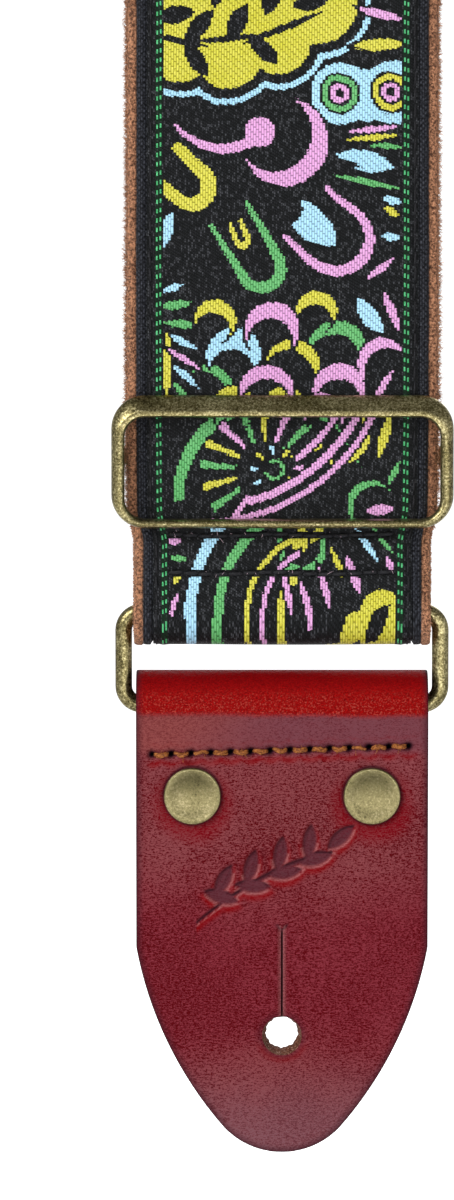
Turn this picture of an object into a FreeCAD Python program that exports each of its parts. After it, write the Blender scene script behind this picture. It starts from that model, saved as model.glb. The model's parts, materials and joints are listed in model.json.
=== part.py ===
"""Adjustable guitar strap, folded as it is stored, with its lower leather tab hanging in front.

Frame: +X across the strap, +Y from the patterned front towards the back, +Z up.
The origin is the centre of the lower tab's button hole, half way through the leather.
All sizes are in millimetres.

The strap is two fabric pieces and two leather tabs. The loop strap is sewn round the lower
ring, runs up through the slider, turns over the upper ring's lower bar, comes down behind and
is sewn round the slider's centre bar. The main strap is sewn round the upper ring's upper bar
and is folded in three legs behind, ending in the upper leather tab.
"""

import FreeCAD
import Part

import math
import os

V = FreeCAD.Vector

# ---- fabric: suede backing, webbing core and woven ribbon, counted outwards from the skin side
SUEDE_T = 1.3
WEBBING_T = 1.2
RIBBON_T = 0.7
SEAM_T = 0.2
FABRIC_T = SUEDE_T + WEBBING_T + RIBBON_T
SUEDE_W = 49.8
WEBBING_W = 48.4
RIBBON_W = 45.0
SEAM_X = 21.9
SEAM_W = 0.6
CLEAR = 0.3
TOUCH = 0.1
CUT_PAST = 1.0

# ---- leather tabs
LEATHER_T = 3.2
TAB_W = 48.8
TAB_TIP_Z = -19.8
TAB_SHOULDER_Z = 15.0
TAB_MID = (18.9, -1.7)
TAB_TIP_CORNER = (10.2, -15.0)
HOLE_R = 3.3
SLIT_W = 0.5
SLIT_TOP_Z = 17.8
THREAD_T = 0.3
THREAD_W = 1.0
TAB_ROW_HALF = 22.3
TAB_ROW_Z = 48.2
RIVET_X = 15.0
RIVET_Z = 40.6
RIVET_CAP_R = 4.75
RIVET_CAP_H = 1.2
RIVET_RIM_H = 0.55
RIVET_POST_R = 1.5
RIVET_HOLE_R = 1.6
FLAP_END_Z = 31.0
TAB_TOP_PAST = 20.0

# ---- rings, bent from round wire
WIRE_R = 1.4
RING_W = 55.8
RING_BARS = 15.6
RING_CORNER_R = 3.1
LOWER_BAR_Z = 55.3

# ---- slider
SLIDER_W = 56.8
SLIDER_Z0 = 85.6
SLIDER_Z1 = 107.7
SLIDER_TOP_BAR = 3.6
SLIDER_LOW_BAR = 1.5
SLIDER_SIDE = 2.2
SLIDER_DEPTH = 3.0
SLIDER_CORNER_R = 5.6
SLIDER_EDGE_R = 0.6
SLIDER_STRAP_GAP = 0.15
CENTRE_BAR_R = 1.3
LUG_R = 2.0
LUG_INSET = 0.1

# ---- folds. Every radius is measured on the skin side of the suede.
TAB_FOLD_R = 2.6
TAB_LEVEL_R = 3.8
BAR_FOLD_R = 2.3
LEVEL_R = 4.0
SLIDER_FOLD_R = CENTRE_BAR_R + CLEAR
SLIDER_LEVEL_R = 4.2
LOOP_ROWS_Z = (77.9, 84.3)
LOOP_TAIL_Z = 87.6
CROSS_ROW_HALF = 19.8
LOOP_TURN_Z = 232.0
SLIDER_TAIL_Z = 118.0
SLIDER_ROWS_Z = (106.0, 113.5)
MAIN_TAIL = 19.0
MAIN_ROWS = (8.3, 15.0)
LEG_TOP_Z = 283.0
LEG_LOW_Z = 82.0
LEG_1_Y = 15.4
LOW_FOLD_R = 5.9
TOP_FOLD_R = 2.6
MAIN_END_Z = 146.0

# ---- upper tab: the lower tab's outline, sewn flat over the main strap's end
UPPER_HOLE_Z = 95.0
UPPER_TAB_TOP = 75.0
UPPER_ROWS = (54.5, 72.0)
UPPER_RIVET = 63.0

# ---- positions that follow
TAB_INNER_Y = LEATHER_T / 2
RING_Y = TAB_INNER_Y + TAB_FOLD_R
LOOP_INNER_Y = RING_Y - BAR_FOLD_R
LOOP_FACE_Y = LOOP_INNER_Y - FABRIC_T
UPPER_BAR_Z = LOWER_BAR_Z + RING_BARS
SLIDER_FRONT_Y = LOOP_FACE_Y - SEAM_T - SLIDER_STRAP_GAP - SLIDER_DEPTH
CENTRE_BAR_Y = LOOP_INNER_Y + CLEAR + FABRIC_T + SLIDER_FOLD_R
CENTRE_BAR_Z = (SLIDER_Z0 + SLIDER_Z1) / 2
BACK_INNER_Y = CENTRE_BAR_Y + SLIDER_FOLD_R
LOOP_TURN_R = (BACK_INNER_Y - LOOP_INNER_Y) / 2
UPPER_RING_Y = LOOP_INNER_Y + LOOP_TURN_R
MAIN_BAR_Z = LOOP_TURN_Z + RING_BARS
MAIN_INNER_Y = UPPER_RING_Y - BAR_FOLD_R
OVER_FOLD_R = (LEG_1_Y - MAIN_INNER_Y) / 2


class Path:
    """A line in the Y-Z plane made of straights and round bends, drawn as a pen walks along it.

    It is the skin side of a band. The band's other layers lie to the left of the walk.
    """

    def __init__(self, y, z, heading):
        self.y, self.z, self.heading = y, z, math.radians(heading)
        self.steps = []

    def _left(self, angle):
        return -math.sin(angle), math.cos(angle)

    def forward(self, length):
        start = (self.y, self.z)
        self.y += length * math.cos(self.heading)
        self.z += length * math.sin(self.heading)
        self.steps.append(("line", start, (self.y, self.z), self.heading))
        return self

    def turn(self, radius, degrees):
        """Positive degrees turn left, about a centre to the left."""
        side = 1 if degrees > 0 else -1
        ly, lz = self._left(self.heading)
        centre = (self.y + side * radius * ly, self.z + side * radius * lz)
        before = self.heading
        self.heading += math.radians(degrees)
        ly, lz = self._left(self.heading)
        self.y = centre[0] - side * radius * ly
        self.z = centre[1] - side * radius * lz
        self.steps.append(("bend", centre, radius, side, before, self.heading))
        return self

    def edges(self, out, x):
        """The path moved out to its left by a distance, as edges in the plane of constant x."""
        made = []
        for step in self.steps:
            if step[0] == "line":
                _, (y0, z0), (y1, z1), heading = step
                ly, lz = self._left(heading)
                ends = V(x, y0 + out * ly, z0 + out * lz), V(x, y1 + out * ly, z1 + out * lz)
                made.append(Part.LineSegment(*ends).toShape())
                continue
            _, (cy, cz), radius, side, a0, a1 = step
            points = []
            for a in (a0, (a0 + a1) / 2, a1):
                ly, lz = self._left(a)
                reach = side * radius - out
                points.append(V(x, cy - reach * ly, cz - reach * lz))
            made.append(Part.Arc(*points).toShape())
        return made

    def band(self, inner, outer, x0, x1):
        """The solid between two offsets of the path, from x0 to x1."""
        low, high = self.edges(inner, x0), self.edges(outer, x0)
        caps = [
            Part.LineSegment(low[0].firstVertex(True).Point, high[0].firstVertex(True).Point),
            Part.LineSegment(low[-1].lastVertex(True).Point, high[-1].lastVertex(True).Point),
        ]
        loop = Part.Wire(Part.__sortEdges__(low + high + [c.toShape() for c in caps]))
        return Part.Face(loop).extrude(V(x1 - x0, 0, 0))


def level_angle(fold_r, level_r):
    """How far past a half turn a fold goes so that its tail comes back against its own run."""
    return math.degrees(math.acos((level_r - fold_r + TOUCH) / (level_r + fold_r)))


def sewn_loop(y_run, bar_z, tail_z):
    """A tail that comes down behind, passes under a bar and turns up into the front run."""
    angle = level_angle(BAR_FOLD_R, LEVEL_R)
    rise = (LEVEL_R + BAR_FOLD_R) * math.sin(math.radians(angle))
    path = Path(y_run + TOUCH, tail_z, -90)
    path.forward(tail_z - bar_z - rise)
    path.turn(LEVEL_R, angle)
    path.turn(BAR_FOLD_R, -180 - angle)
    return path


def loop_front_path():
    path = sewn_loop(LOOP_INNER_Y, UPPER_BAR_Z, LOOP_TAIL_Z)
    return path.forward(LOOP_TURN_Z - UPPER_BAR_Z)


def loop_back_path():
    angle = level_angle(SLIDER_FOLD_R, SLIDER_LEVEL_R)
    rise = (SLIDER_FOLD_R + SLIDER_LEVEL_R) * math.sin(math.radians(angle))
    path = Path(LOOP_INNER_Y, LOOP_TURN_Z, 90)
    path.turn(LOOP_TURN_R, -180)
    path.forward(LOOP_TURN_Z - CENTRE_BAR_Z)
    path.turn(SLIDER_FOLD_R, -180 - angle)
    path.turn(SLIDER_LEVEL_R, angle)
    return path.forward(SLIDER_TAIL_Z - CENTRE_BAR_Z - rise)


def main_path():
    path = sewn_loop(MAIN_INNER_Y, MAIN_BAR_Z, MAIN_BAR_Z + MAIN_TAIL)
    path.forward(LEG_TOP_Z - MAIN_BAR_Z)
    path.turn(OVER_FOLD_R, -180)
    path.forward(LEG_TOP_Z - LEG_LOW_Z)
    path.turn(LOW_FOLD_R, 180)
    path.forward(LEG_TOP_Z - LEG_LOW_Z)
    path.turn(TOP_FOLD_R, -180)
    return path.forward(LEG_TOP_Z - MAIN_END_Z)


def tab_path():
    angle = level_angle(TAB_FOLD_R, TAB_LEVEL_R)
    rise = (TAB_FOLD_R + TAB_LEVEL_R) * math.sin(math.radians(angle))
    path = Path(TAB_INNER_Y, TAB_TIP_Z - CUT_PAST, 90)
    path.forward(LOWER_BAR_Z - TAB_TIP_Z + CUT_PAST)
    path.turn(TAB_FOLD_R, -180 - angle)
    path.turn(TAB_LEVEL_R, angle)
    return path.forward(LOWER_BAR_Z - rise - FLAP_END_Z)


def tongue(top_z, y0, y1, zero_z=0.0):
    """The tab's outline as a prism along Y: straight sides, shoulders and a rounded tip."""
    half = TAB_W / 2

    def at(x, z):
        return V(x, y0, z + zero_z)

    mx, mz = TAB_MID
    tx, tz = TAB_TIP_CORNER
    edges = [
        Part.LineSegment(at(-half, TAB_SHOULDER_Z), at(-half, top_z)),
        Part.LineSegment(at(-half, top_z), at(half, top_z)),
        Part.LineSegment(at(half, top_z), at(half, TAB_SHOULDER_Z)),
        Part.Arc(at(half, TAB_SHOULDER_Z), at(mx, mz), at(tx, tz)),
        Part.Arc(at(tx, tz), at(0, TAB_TIP_Z), at(-tx, tz)),
        Part.Arc(at(-tx, tz), at(-mx, mz), at(-half, TAB_SHOULDER_Z)),
    ]
    face = Part.Face(Part.Wire([e.toShape() for e in edges]))
    return face.extrude(V(0, y1 - y0, 0))


def rod(x, y0, y1, z, radius):
    return Part.makeCylinder(radius, y1 - y0, V(x, y0, z), V(0, 1, 0))


def block(x0, x1, y0, y1, z0, z1):
    return Part.makeBox(x1 - x0, y1 - y0, z1 - z0, V(x0, y0, z0))


def button_hole(y0, y1, zero_z=0.0):
    slit = block(-SLIT_W / 2, SLIT_W / 2, y0, y1, zero_z, zero_z + SLIT_TOP_Z)
    return rod(0, y0, y1, zero_z, HOLE_R).fuse(slit)


def rivet_holes(y0, y1, z):
    return [rod(side * RIVET_X, y0, y1, z, RIVET_HOLE_R) for side in (-1, 1)]


def cut_all(shape, tools):
    for tool in tools:
        shape = shape.cut(tool)
    return shape


def lower_tab():
    leather = tab_path().band(0, LEATHER_T, -TAB_W / 2, TAB_W / 2)
    y0 = TAB_INNER_Y - LEATHER_T - CUT_PAST
    y1 = TAB_INNER_Y + 2 * TAB_FOLD_R + LEATHER_T + CUT_PAST
    leather = leather.common(tongue(LOWER_BAR_Z + TAB_TOP_PAST, y0, y1))
    return cut_all(leather, [button_hole(y0, y1), *rivet_holes(y0, y1, RIVET_Z)])


def upper_tab_face():
    """Where the main strap's last leg shows its ribbon."""
    return MAIN_INNER_Y + 2 * (OVER_FOLD_R + LOW_FOLD_R + TOP_FOLD_R) + FABRIC_T


def upper_tab():
    y0 = upper_tab_face()
    leather = tongue(UPPER_TAB_TOP, y0, y0 + LEATHER_T, UPPER_HOLE_Z)
    low, high = y0 - CUT_PAST, y0 + LEATHER_T + CUT_PAST
    tools = [button_hole(low, high, UPPER_HOLE_Z)]
    return cut_all(leather, tools + rivet_holes(low, high, UPPER_HOLE_Z + UPPER_RIVET))


def ring(y, low_z):
    """A rounded rectangle of round wire, its bars along X at low_z and RING_BARS above."""
    half = RING_W / 2 - WIRE_R
    r = RING_CORNER_R
    pieces = []
    for z in (low_z, low_z + RING_BARS):
        pieces.append(Part.makeCylinder(WIRE_R, 2 * (half - r), V(r - half, y, z), V(1, 0, 0)))
    for side in (-1, 1):
        foot = V(side * half, y, low_z + r)
        pieces.append(Part.makeCylinder(WIRE_R, RING_BARS - 2 * r, foot, V(0, 0, 1)))
    corners = ((1, 1, 0), (-1, 1, 90), (-1, -1, 180), (1, -1, 270))
    for sx, sz, start in corners:
        bend = Part.makeTorus(r, WIRE_R, V(0, 0, 0), V(0, 0, 1), 0, 360, 90)
        bend.rotate(V(0, 0, 0), V(0, 0, 1), start)
        bend.rotate(V(0, 0, 0), V(1, 0, 0), 90)
        bend.translate(V(sx * (half - r), y, low_z + (RING_BARS - r if sz > 0 else r)))
        pieces.append(bend)
    return pieces[0].multiFuse(pieces[1:]).removeSplitter()


def rounded_frame(x_half, z0, z1, corner, y0, depth):
    body = block(-x_half, x_half, y0, y0 + depth, z0, z1)
    uprights = [e for e in body.Edges if abs(e.tangentAt(e.FirstParameter).y) > 0.9]
    return body.makeFillet(corner, uprights)


def slider_frame():
    """A cast frame with a heavy top bar, and two lugs that carry the centre bar behind."""
    half = SLIDER_W / 2
    y0 = SLIDER_FRONT_Y
    outer = rounded_frame(half, SLIDER_Z0, SLIDER_Z1, SLIDER_CORNER_R, y0, SLIDER_DEPTH)
    window = rounded_frame(
        half - SLIDER_SIDE,
        SLIDER_Z0 + SLIDER_LOW_BAR,
        SLIDER_Z1 - SLIDER_TOP_BAR,
        SLIDER_CORNER_R - SLIDER_SIDE,
        y0 - CUT_PAST,
        SLIDER_DEPTH + 2 * CUT_PAST,
    )
    frame = outer.cut(window)
    flat = [e for e in frame.Edges if abs(e.tangentAt(e.FirstParameter).y) < 0.1]
    frame = frame.makeFillet(SLIDER_EDGE_R, flat)
    for side in (-1, 1):
        x0 = half - SLIDER_SIDE if side > 0 else -half
        arm = block(
            x0 + LUG_INSET,
            x0 + SLIDER_SIDE - LUG_INSET,
            y0 + SLIDER_DEPTH / 2,
            CENTRE_BAR_Y,
            CENTRE_BAR_Z - LUG_R,
            CENTRE_BAR_Z + LUG_R,
        )
        foot = V(x0 + LUG_INSET, CENTRE_BAR_Y, CENTRE_BAR_Z)
        eye = Part.makeCylinder(LUG_R, SLIDER_SIDE - 2 * LUG_INSET, foot, V(1, 0, 0))
        frame = frame.fuse(arm).fuse(eye)
    return frame.removeSplitter()


def centre_bar():
    reach = SLIDER_W / 2 - SLIDER_SIDE + LUG_INSET
    return Part.makeCylinder(
        CENTRE_BAR_R, 2 * reach, V(-reach, CENTRE_BAR_Y, CENTRE_BAR_Z), V(1, 0, 0)
    )


def rivet_head(x, y, z, outward):
    """A cap whose flat side lies at y, with a straight rim and a spherical dome facing along Y."""
    dome = RIVET_CAP_H - RIVET_RIM_H
    sphere_r = (RIVET_CAP_R**2 + dome**2) / (2 * dome)
    rim = Part.makeCylinder(RIVET_CAP_R, RIVET_CAP_H, V(x, y, z), V(0, outward, 0))
    centre = V(x, y + outward * (RIVET_CAP_H - sphere_r), z)
    return rim.common(Part.makeSphere(sphere_r, centre, V(0, 1, 0)))


def rivets(front_y, back_y, z, front_outward):
    """Two rivets: caps with their posts, and the back caps they are set into."""
    caps, backs = [], []
    low, high = min(front_y, back_y), max(front_y, back_y)
    for side in (-1, 1):
        x = side * RIVET_X
        caps.append(rivet_head(x, front_y, z, front_outward).fuse(rod(x, low, high, z, RIVET_POST_R)))
        backs.append(rivet_head(x, back_y, z, -front_outward))
    return Part.makeCompound(caps), Part.makeCompound(backs)


def cross_rows(rows_z, faces, half, thick, width):
    """Rows of thread across the strap: one cord on each given face, thickened outwards."""
    cords = []
    for z in rows_z:
        for y, outward in faces:
            y0 = min(y, y + outward * thick)
            cords.append(block(-half, half, y0, y0 + thick, z - width / 2, z + width / 2))
    return Part.makeCompound(cords)


def fabric(path):
    """The three sewn layers and the two long seams of one length of strap."""
    at = SUEDE_T + WEBBING_T
    seams = [
        path.band(FABRIC_T, FABRIC_T + SEAM_T, side * SEAM_X - SEAM_W / 2, side * SEAM_X + SEAM_W / 2)
        for side in (-1, 1)
    ]
    return {
        "suede": path.band(0, SUEDE_T, -SUEDE_W / 2, SUEDE_W / 2),
        "webbing": path.band(SUEDE_T, at, -WEBBING_W / 2, WEBBING_W / 2),
        "ribbon": path.band(at, FABRIC_T, -RIBBON_W / 2, RIBBON_W / 2),
        "edge_seams": Part.makeCompound(seams),
    }


def build():
    parts = {"lower_tab_leather": lower_tab(), "upper_tab_leather": upper_tab()}

    grain_y = TAB_INNER_Y - LEATHER_T
    flap_y = TAB_INNER_Y + TOUCH + LEATHER_T
    caps, backs = rivets(grain_y, flap_y, RIVET_Z, -1)
    parts["lower_tab_rivet_caps"] = caps
    parts["lower_tab_rivet_backs"] = backs
    tab_faces = ((grain_y, -1), (flap_y, 1))
    parts["lower_tab_thread"] = cross_rows((TAB_ROW_Z,), tab_faces, TAB_ROW_HALF, THREAD_T, THREAD_W)

    parts["lower_ring"] = ring(RING_Y, LOWER_BAR_Z)
    parts["upper_ring"] = ring(UPPER_RING_Y, LOOP_TURN_Z)
    parts["slider_frame"] = slider_frame()
    parts["slider_centre_bar"] = centre_bar()

    for name, shape in fabric(loop_front_path()).items():
        parts["loop_front_" + name] = shape
    for name, shape in fabric(loop_back_path()).items():
        parts["loop_back_" + name] = shape
    main = fabric(main_path())
    leg_3_skin = upper_tab_face() - FABRIC_T
    low, high = leg_3_skin - CUT_PAST, upper_tab_face() + LEATHER_T
    holes = rivet_holes(low, high, UPPER_HOLE_Z + UPPER_RIVET)
    tab_top = UPPER_HOLE_Z + UPPER_TAB_TOP + TOUCH
    seam_end = block(-SUEDE_W, SUEDE_W, leg_3_skin, high, 0, tab_top)
    for name in ("suede", "webbing", "ribbon"):
        parts["main_" + name] = cut_all(main[name], holes)
    parts["main_edge_seams"] = main["edge_seams"].cut(seam_end)

    tail_face = LOOP_INNER_Y + TOUCH + FABRIC_T
    loop_faces = ((LOOP_FACE_Y, -1), (tail_face, 1))
    parts["loop_ring_seam"] = cross_rows(LOOP_ROWS_Z, loop_faces, CROSS_ROW_HALF, SEAM_T, SEAM_W)
    slider_faces = ((BACK_INNER_Y + FABRIC_T, 1), (BACK_INNER_Y - TOUCH - FABRIC_T, -1))
    parts["loop_slider_seam"] = cross_rows(
        SLIDER_ROWS_Z, slider_faces, CROSS_ROW_HALF, SEAM_T, SEAM_W
    )
    main_faces = ((MAIN_INNER_Y - FABRIC_T, -1), (MAIN_INNER_Y + TOUCH + FABRIC_T, 1))
    rows = [MAIN_BAR_Z + row for row in MAIN_ROWS]
    parts["main_ring_seam"] = cross_rows(rows, main_faces, CROSS_ROW_HALF, SEAM_T, SEAM_W)

    y_out = upper_tab_face() + LEATHER_T
    rows = [UPPER_HOLE_Z + row for row in UPPER_ROWS]
    upper_faces = ((y_out, 1), (leg_3_skin, -1))
    parts["upper_tab_thread"] = cross_rows(rows, upper_faces, TAB_ROW_HALF, THREAD_T, THREAD_W)
    caps, backs = rivets(y_out, leg_3_skin, UPPER_HOLE_Z + UPPER_RIVET, 1)
    parts["upper_tab_rivet_caps"] = caps
    parts["upper_tab_rivet_backs"] = backs
    return parts


def main():
    os.makedirs("parts", exist_ok=True)
    for name, shape in build().items():
        problem = "" if shape.isValid() and shape.Volume > 0 else "  NOT VALID"
        shape.exportStep(os.path.join("parts", name + ".step"))
        print(f"{name}: {len(shape.Solids)} solids, {shape.Volume:.1f} mm3{problem}")


main()
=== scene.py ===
import json
import math
import random

import bpy
import numpy as np
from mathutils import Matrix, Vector


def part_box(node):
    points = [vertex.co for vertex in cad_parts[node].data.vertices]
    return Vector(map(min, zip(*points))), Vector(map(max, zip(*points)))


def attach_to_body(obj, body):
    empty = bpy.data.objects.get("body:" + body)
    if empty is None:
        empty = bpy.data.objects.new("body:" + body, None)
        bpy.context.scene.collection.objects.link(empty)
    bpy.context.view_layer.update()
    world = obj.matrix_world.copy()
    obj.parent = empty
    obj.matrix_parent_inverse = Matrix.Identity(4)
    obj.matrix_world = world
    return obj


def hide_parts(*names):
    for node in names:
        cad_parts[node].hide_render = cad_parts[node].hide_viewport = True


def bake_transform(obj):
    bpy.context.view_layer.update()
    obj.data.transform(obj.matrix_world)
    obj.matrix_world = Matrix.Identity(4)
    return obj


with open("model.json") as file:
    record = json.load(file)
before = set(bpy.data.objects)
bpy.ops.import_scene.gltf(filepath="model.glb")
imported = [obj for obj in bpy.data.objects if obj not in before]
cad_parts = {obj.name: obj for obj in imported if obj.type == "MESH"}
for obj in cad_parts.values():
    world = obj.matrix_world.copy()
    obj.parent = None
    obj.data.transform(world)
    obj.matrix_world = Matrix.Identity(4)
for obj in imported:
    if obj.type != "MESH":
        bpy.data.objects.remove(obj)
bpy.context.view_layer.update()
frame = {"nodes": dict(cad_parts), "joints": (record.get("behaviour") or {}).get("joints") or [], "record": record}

# All lengths below are in millimetres; meshes are scaled to metres when they are made.
MM = 0.001
rng = random.Random(11)
JOINT = {j["name"]: j for j in frame["joints"]}


def pin(name):
    return [1000.0 * c for c in JOINT[name]["pos_m"]]


def box(node):
    low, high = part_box(node)
    return [1000.0 * c for c in low], [1000.0 * c for c in high]


# ------------------------------------------------------------------ places taken from the CAD
SUEDE_T, WEBBING_T, RIBBON_T = 1.3, 1.2, 0.7
FABRIC_T = SUEDE_T + WEBBING_T + RIBBON_T
TOUCH = 0.1
TAB_BAR = pin("lower_tab_swing")
STRAP_BAR = pin("lower_ring_swing")
LOOP_BAR = pin("loop_swing")
MAIN_BAR = pin("upper_ring_swing")
LOOP_SKIN = box("loop_front_ribbon")[0][1] + FABRIC_T
LOOP_TOP = box("loop_front_ribbon")[1][2]
LOOP_TAIL = box("loop_front_suede")[0][2]
BACK_SKIN = 2 * LOOP_BAR[1] - LOOP_SKIN
MAIN_SKIN = box("main_ribbon")[0][1] + FABRIC_T
BAR_FOLD_R = STRAP_BAR[1] - LOOP_SKIN
LEVEL_R = 4.0
CENTRE_LOW, CENTRE_HIGH = box("slider_centre_bar")
CENTRE_BAR_Z = (CENTRE_LOW[2] + CENTRE_HIGH[2]) / 2
CENTRE_BAR_R = (CENTRE_HIGH[2] - CENTRE_LOW[2]) / 2
SLIDER_FOLD_R = BACK_SKIN - (CENTRE_LOW[1] + CENTRE_HIGH[1]) / 2
SLIDER_LEVEL_R = 4.2
TAIL_Z = 87.6
SLIDER_TAIL_Z = 118.0
MAIN_TAIL = 19.0
LOOP_ROWS = [(box("loop_ring_seam")[0][2] + 0.3), (box("loop_ring_seam")[1][2] - 0.3)]
SLIDER_ROWS = [(box("loop_slider_seam")[0][2] + 0.3), (box("loop_slider_seam")[1][2] - 0.3)]
MAIN_ROWS = [(box("main_ring_seam")[0][2] + 0.3), (box("main_ring_seam")[1][2] - 0.3)]
SEAM_X = 21.9
HALF_SUEDE = box("loop_front_suede")[1][0] + 0.95
HALF_WEBBING = box("loop_front_webbing")[1][0]
HALF_RIBBON = box("loop_front_ribbon")[1][0]
MAIN_LOW, MAIN_HIGH = box("main_suede")
OVER_R = 6.225
LOW_R = 5.9
TOP_R = 2.6
LEG_TOP = box("main_ribbon")[1][2] - OVER_R - FABRIC_T
LEG_LOW = box("main_suede")[0][2] + LOW_R
UPPER_TAB_LOW, UPPER_TAB_HIGH = box("upper_tab_leather")
MAIN_END = 146.0


# ------------------------------------------------------------------ paths in the Y-Z plane
class Walk:
    """A pen walking in the Y-Z plane. Its line is the band's skin side; layers lie to its left."""

    def __init__(self, y, z, heading, step):
        self.a = math.radians(heading)
        self.y, self.z, self.step = y, z, step
        self.rows = [self._row(0.0)]
        self.s = 0.0

    def _row(self, s):
        return (s, self.y, self.z, -math.sin(self.a), math.cos(self.a))

    def forward(self, length, step=None):
        n = max(1, round(length / (step or self.step)))
        for _ in range(n):
            self.y += length / n * math.cos(self.a)
            self.z += length / n * math.sin(self.a)
            self.s += length / n
            self.rows.append(self._row(self.s))
        return self

    def turn(self, radius, degrees):
        n = max(6, round(abs(degrees) / 7.5))
        side = 1 if degrees > 0 else -1
        for _ in range(n):
            cy = self.y - side * radius * math.sin(self.a)
            cz = self.z + side * radius * math.cos(self.a)
            self.a += math.radians(degrees) / n
            self.y = cy + side * radius * math.sin(self.a)
            self.z = cz - side * radius * math.cos(self.a)
            self.s += radius * math.radians(abs(degrees)) / n
            self.rows.append(self._row(self.s))
        return self

    def done(self, v_end):
        """Freezes the walk; v is the pattern's lengthwise coordinate, v_end at the last point."""
        self.t = np.array(self.rows)
        self.v_shift = v_end - self.s
        return self

    def at(self, s, h):
        """y and z of the point s along the walk and h out from the skin."""
        t = self.t
        y, z, ny, nz = (np.interp(s, t[:, 0], t[:, k]) for k in (1, 2, 3, 4))
        return y + h * ny, z + h * nz

    def s_at_v(self, v):
        return v - self.v_shift


def level_angle(fold_r, level_r):
    return math.degrees(math.acos((level_r - fold_r + TOUCH) / (level_r + fold_r)))


def sewn_loop(y_run, bar_z, tail_z, step):
    angle = level_angle(BAR_FOLD_R, LEVEL_R)
    rise = (LEVEL_R + BAR_FOLD_R) * math.sin(math.radians(angle))
    w = Walk(y_run + TOUCH, tail_z, -90, step)
    w.forward(tail_z - bar_z - rise).turn(LEVEL_R, angle).turn(BAR_FOLD_R, -180 - angle)
    return w


FRONT = sewn_loop(LOOP_SKIN, STRAP_BAR[2], TAIL_Z, 0.5).forward(LOOP_TOP - STRAP_BAR[2]).done(LOOP_TOP)
_angle = level_angle(SLIDER_FOLD_R, SLIDER_LEVEL_R)
_rise = (SLIDER_FOLD_R + SLIDER_LEVEL_R) * math.sin(math.radians(_angle))
BACK = Walk(LOOP_SKIN, LOOP_TOP, 90, 0.8).turn((BACK_SKIN - LOOP_SKIN) / 2, -180)
BACK.forward(LOOP_TOP - CENTRE_BAR_Z).turn(SLIDER_FOLD_R, -180 - _angle).turn(SLIDER_LEVEL_R, _angle)
BACK.forward(SLIDER_TAIL_Z - CENTRE_BAR_Z - _rise).done(LOOP_TOP + BACK.s)
MAIN = sewn_loop(MAIN_SKIN, MAIN_BAR[2], MAIN_BAR[2] + MAIN_TAIL, 0.9)
MAIN.forward(LEG_TOP - MAIN_BAR[2]).turn(OVER_R, -180).forward(LEG_TOP - LEG_LOW)
LOW_FOLD_S = MAIN.s + math.pi * LOW_R / 2
MAIN.turn(LOW_R, 180).forward(LEG_TOP - LEG_LOW).turn(TOP_R, -180).forward(LEG_TOP - MAIN_END).done(37.0 + MAIN.s)


# ------------------------------------------------------------------ meshes
def make(name, verts, faces, material, smooth=True, attrs=None):
    mesh = bpy.data.meshes.new(name)
    mesh.from_pydata((np.asarray(verts, float) * MM).tolist(), [], faces)
    mesh.update()
    for key, values in (attrs or {}).items():
        values = np.asarray(values, np.float32)
        kind = "FLOAT" if values.ndim == 1 else "FLOAT_VECTOR"
        attribute = mesh.attributes.new(key, kind, "POINT")
        attribute.data.foreach_set("value" if values.ndim == 1 else "vector", values.ravel())
    mesh.polygons.foreach_set("use_smooth", [smooth] * len(mesh.polygons))
    mesh.materials.append(material)
    ob = bpy.data.objects.new(name, mesh)
    bpy.context.scene.collection.objects.link(ob)
    return ob


def sharp_at(ob, degrees):
    """Flat-shades the edges that turn by more than an angle."""
    ob.data.set_sharp_from_angle(angle=math.radians(degrees))
    return ob


def strip(name, walk, xs, under, over, material, relief, rows=()):
    """One layer of a band: its upper face has relief, its lower face is plain."""
    s, y, z, ny, nz = walk.t.T
    xs = np.asarray(xs, float)
    n, m = len(s), len(xs)
    flat_x = np.tile(xs, (n, 1))
    grid_x = flat_x * walk.width(s + walk.v_shift)[:, None]
    h = float(over) + relief(flat_x, (s + walk.v_shift)[:, None] + 0 * flat_x)
    top = np.stack([grid_x, y[:, None] + h * ny[:, None], z[:, None] + h * nz[:, None]], -1)
    lo_x = grid_x[:, [0, -1]]
    low = np.stack([lo_x, (y + under * ny)[:, None] + 0 * lo_x, (z + under * nz)[:, None] + 0 * lo_x], -1)
    verts = np.concatenate([top.reshape(-1, 3), low.reshape(-1, 3)])
    base = n * m
    faces = []
    for i in range(n - 1):
        a, b = i * m, (i + 1) * m
        faces += [(a + j, a + j + 1, b + j + 1, b + j) for j in range(m - 1)]
        p, q = base + 2 * i, base + 2 * i + 2
        faces.append((p, q, q + 1, p + 1))
        faces.append((a, b, q, p))
        faces.append((a + m - 1, p + 1, q + 1, b + m - 1))
    faces.append(tuple([base + 1, base] + list(range(m))))
    last = (n - 1) * m
    faces.append(tuple([base + 2 * n - 2, base + 2 * n - 1] + list(range(last + m - 1, last - 1, -1))))
    v = np.repeat(s + walk.v_shift, m)
    v = np.concatenate([v, np.repeat(s + walk.v_shift, 2)])
    u = np.concatenate([flat_x.ravel(), flat_x[:, [0, -1]].ravel()])
    row_gap_and_shade = np.zeros(base + 2 * n)
    # row_gap_and_shade along each cross row: the ribbon's colour drops its coloured floats there and darkens the ground
    # as painted shade in the sewn groove
    for row in rows:
        row_gap_and_shade = np.maximum(row_gap_and_shade, np.exp(-(((v - row) / 0.62) ** 2)) * (np.abs(u) < 20.4))
    ob = make(name, verts, faces, material, attrs={"strap_mm": np.stack([u, v, row_gap_and_shade], -1)})
    return sharp_at(ob, 50)


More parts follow.
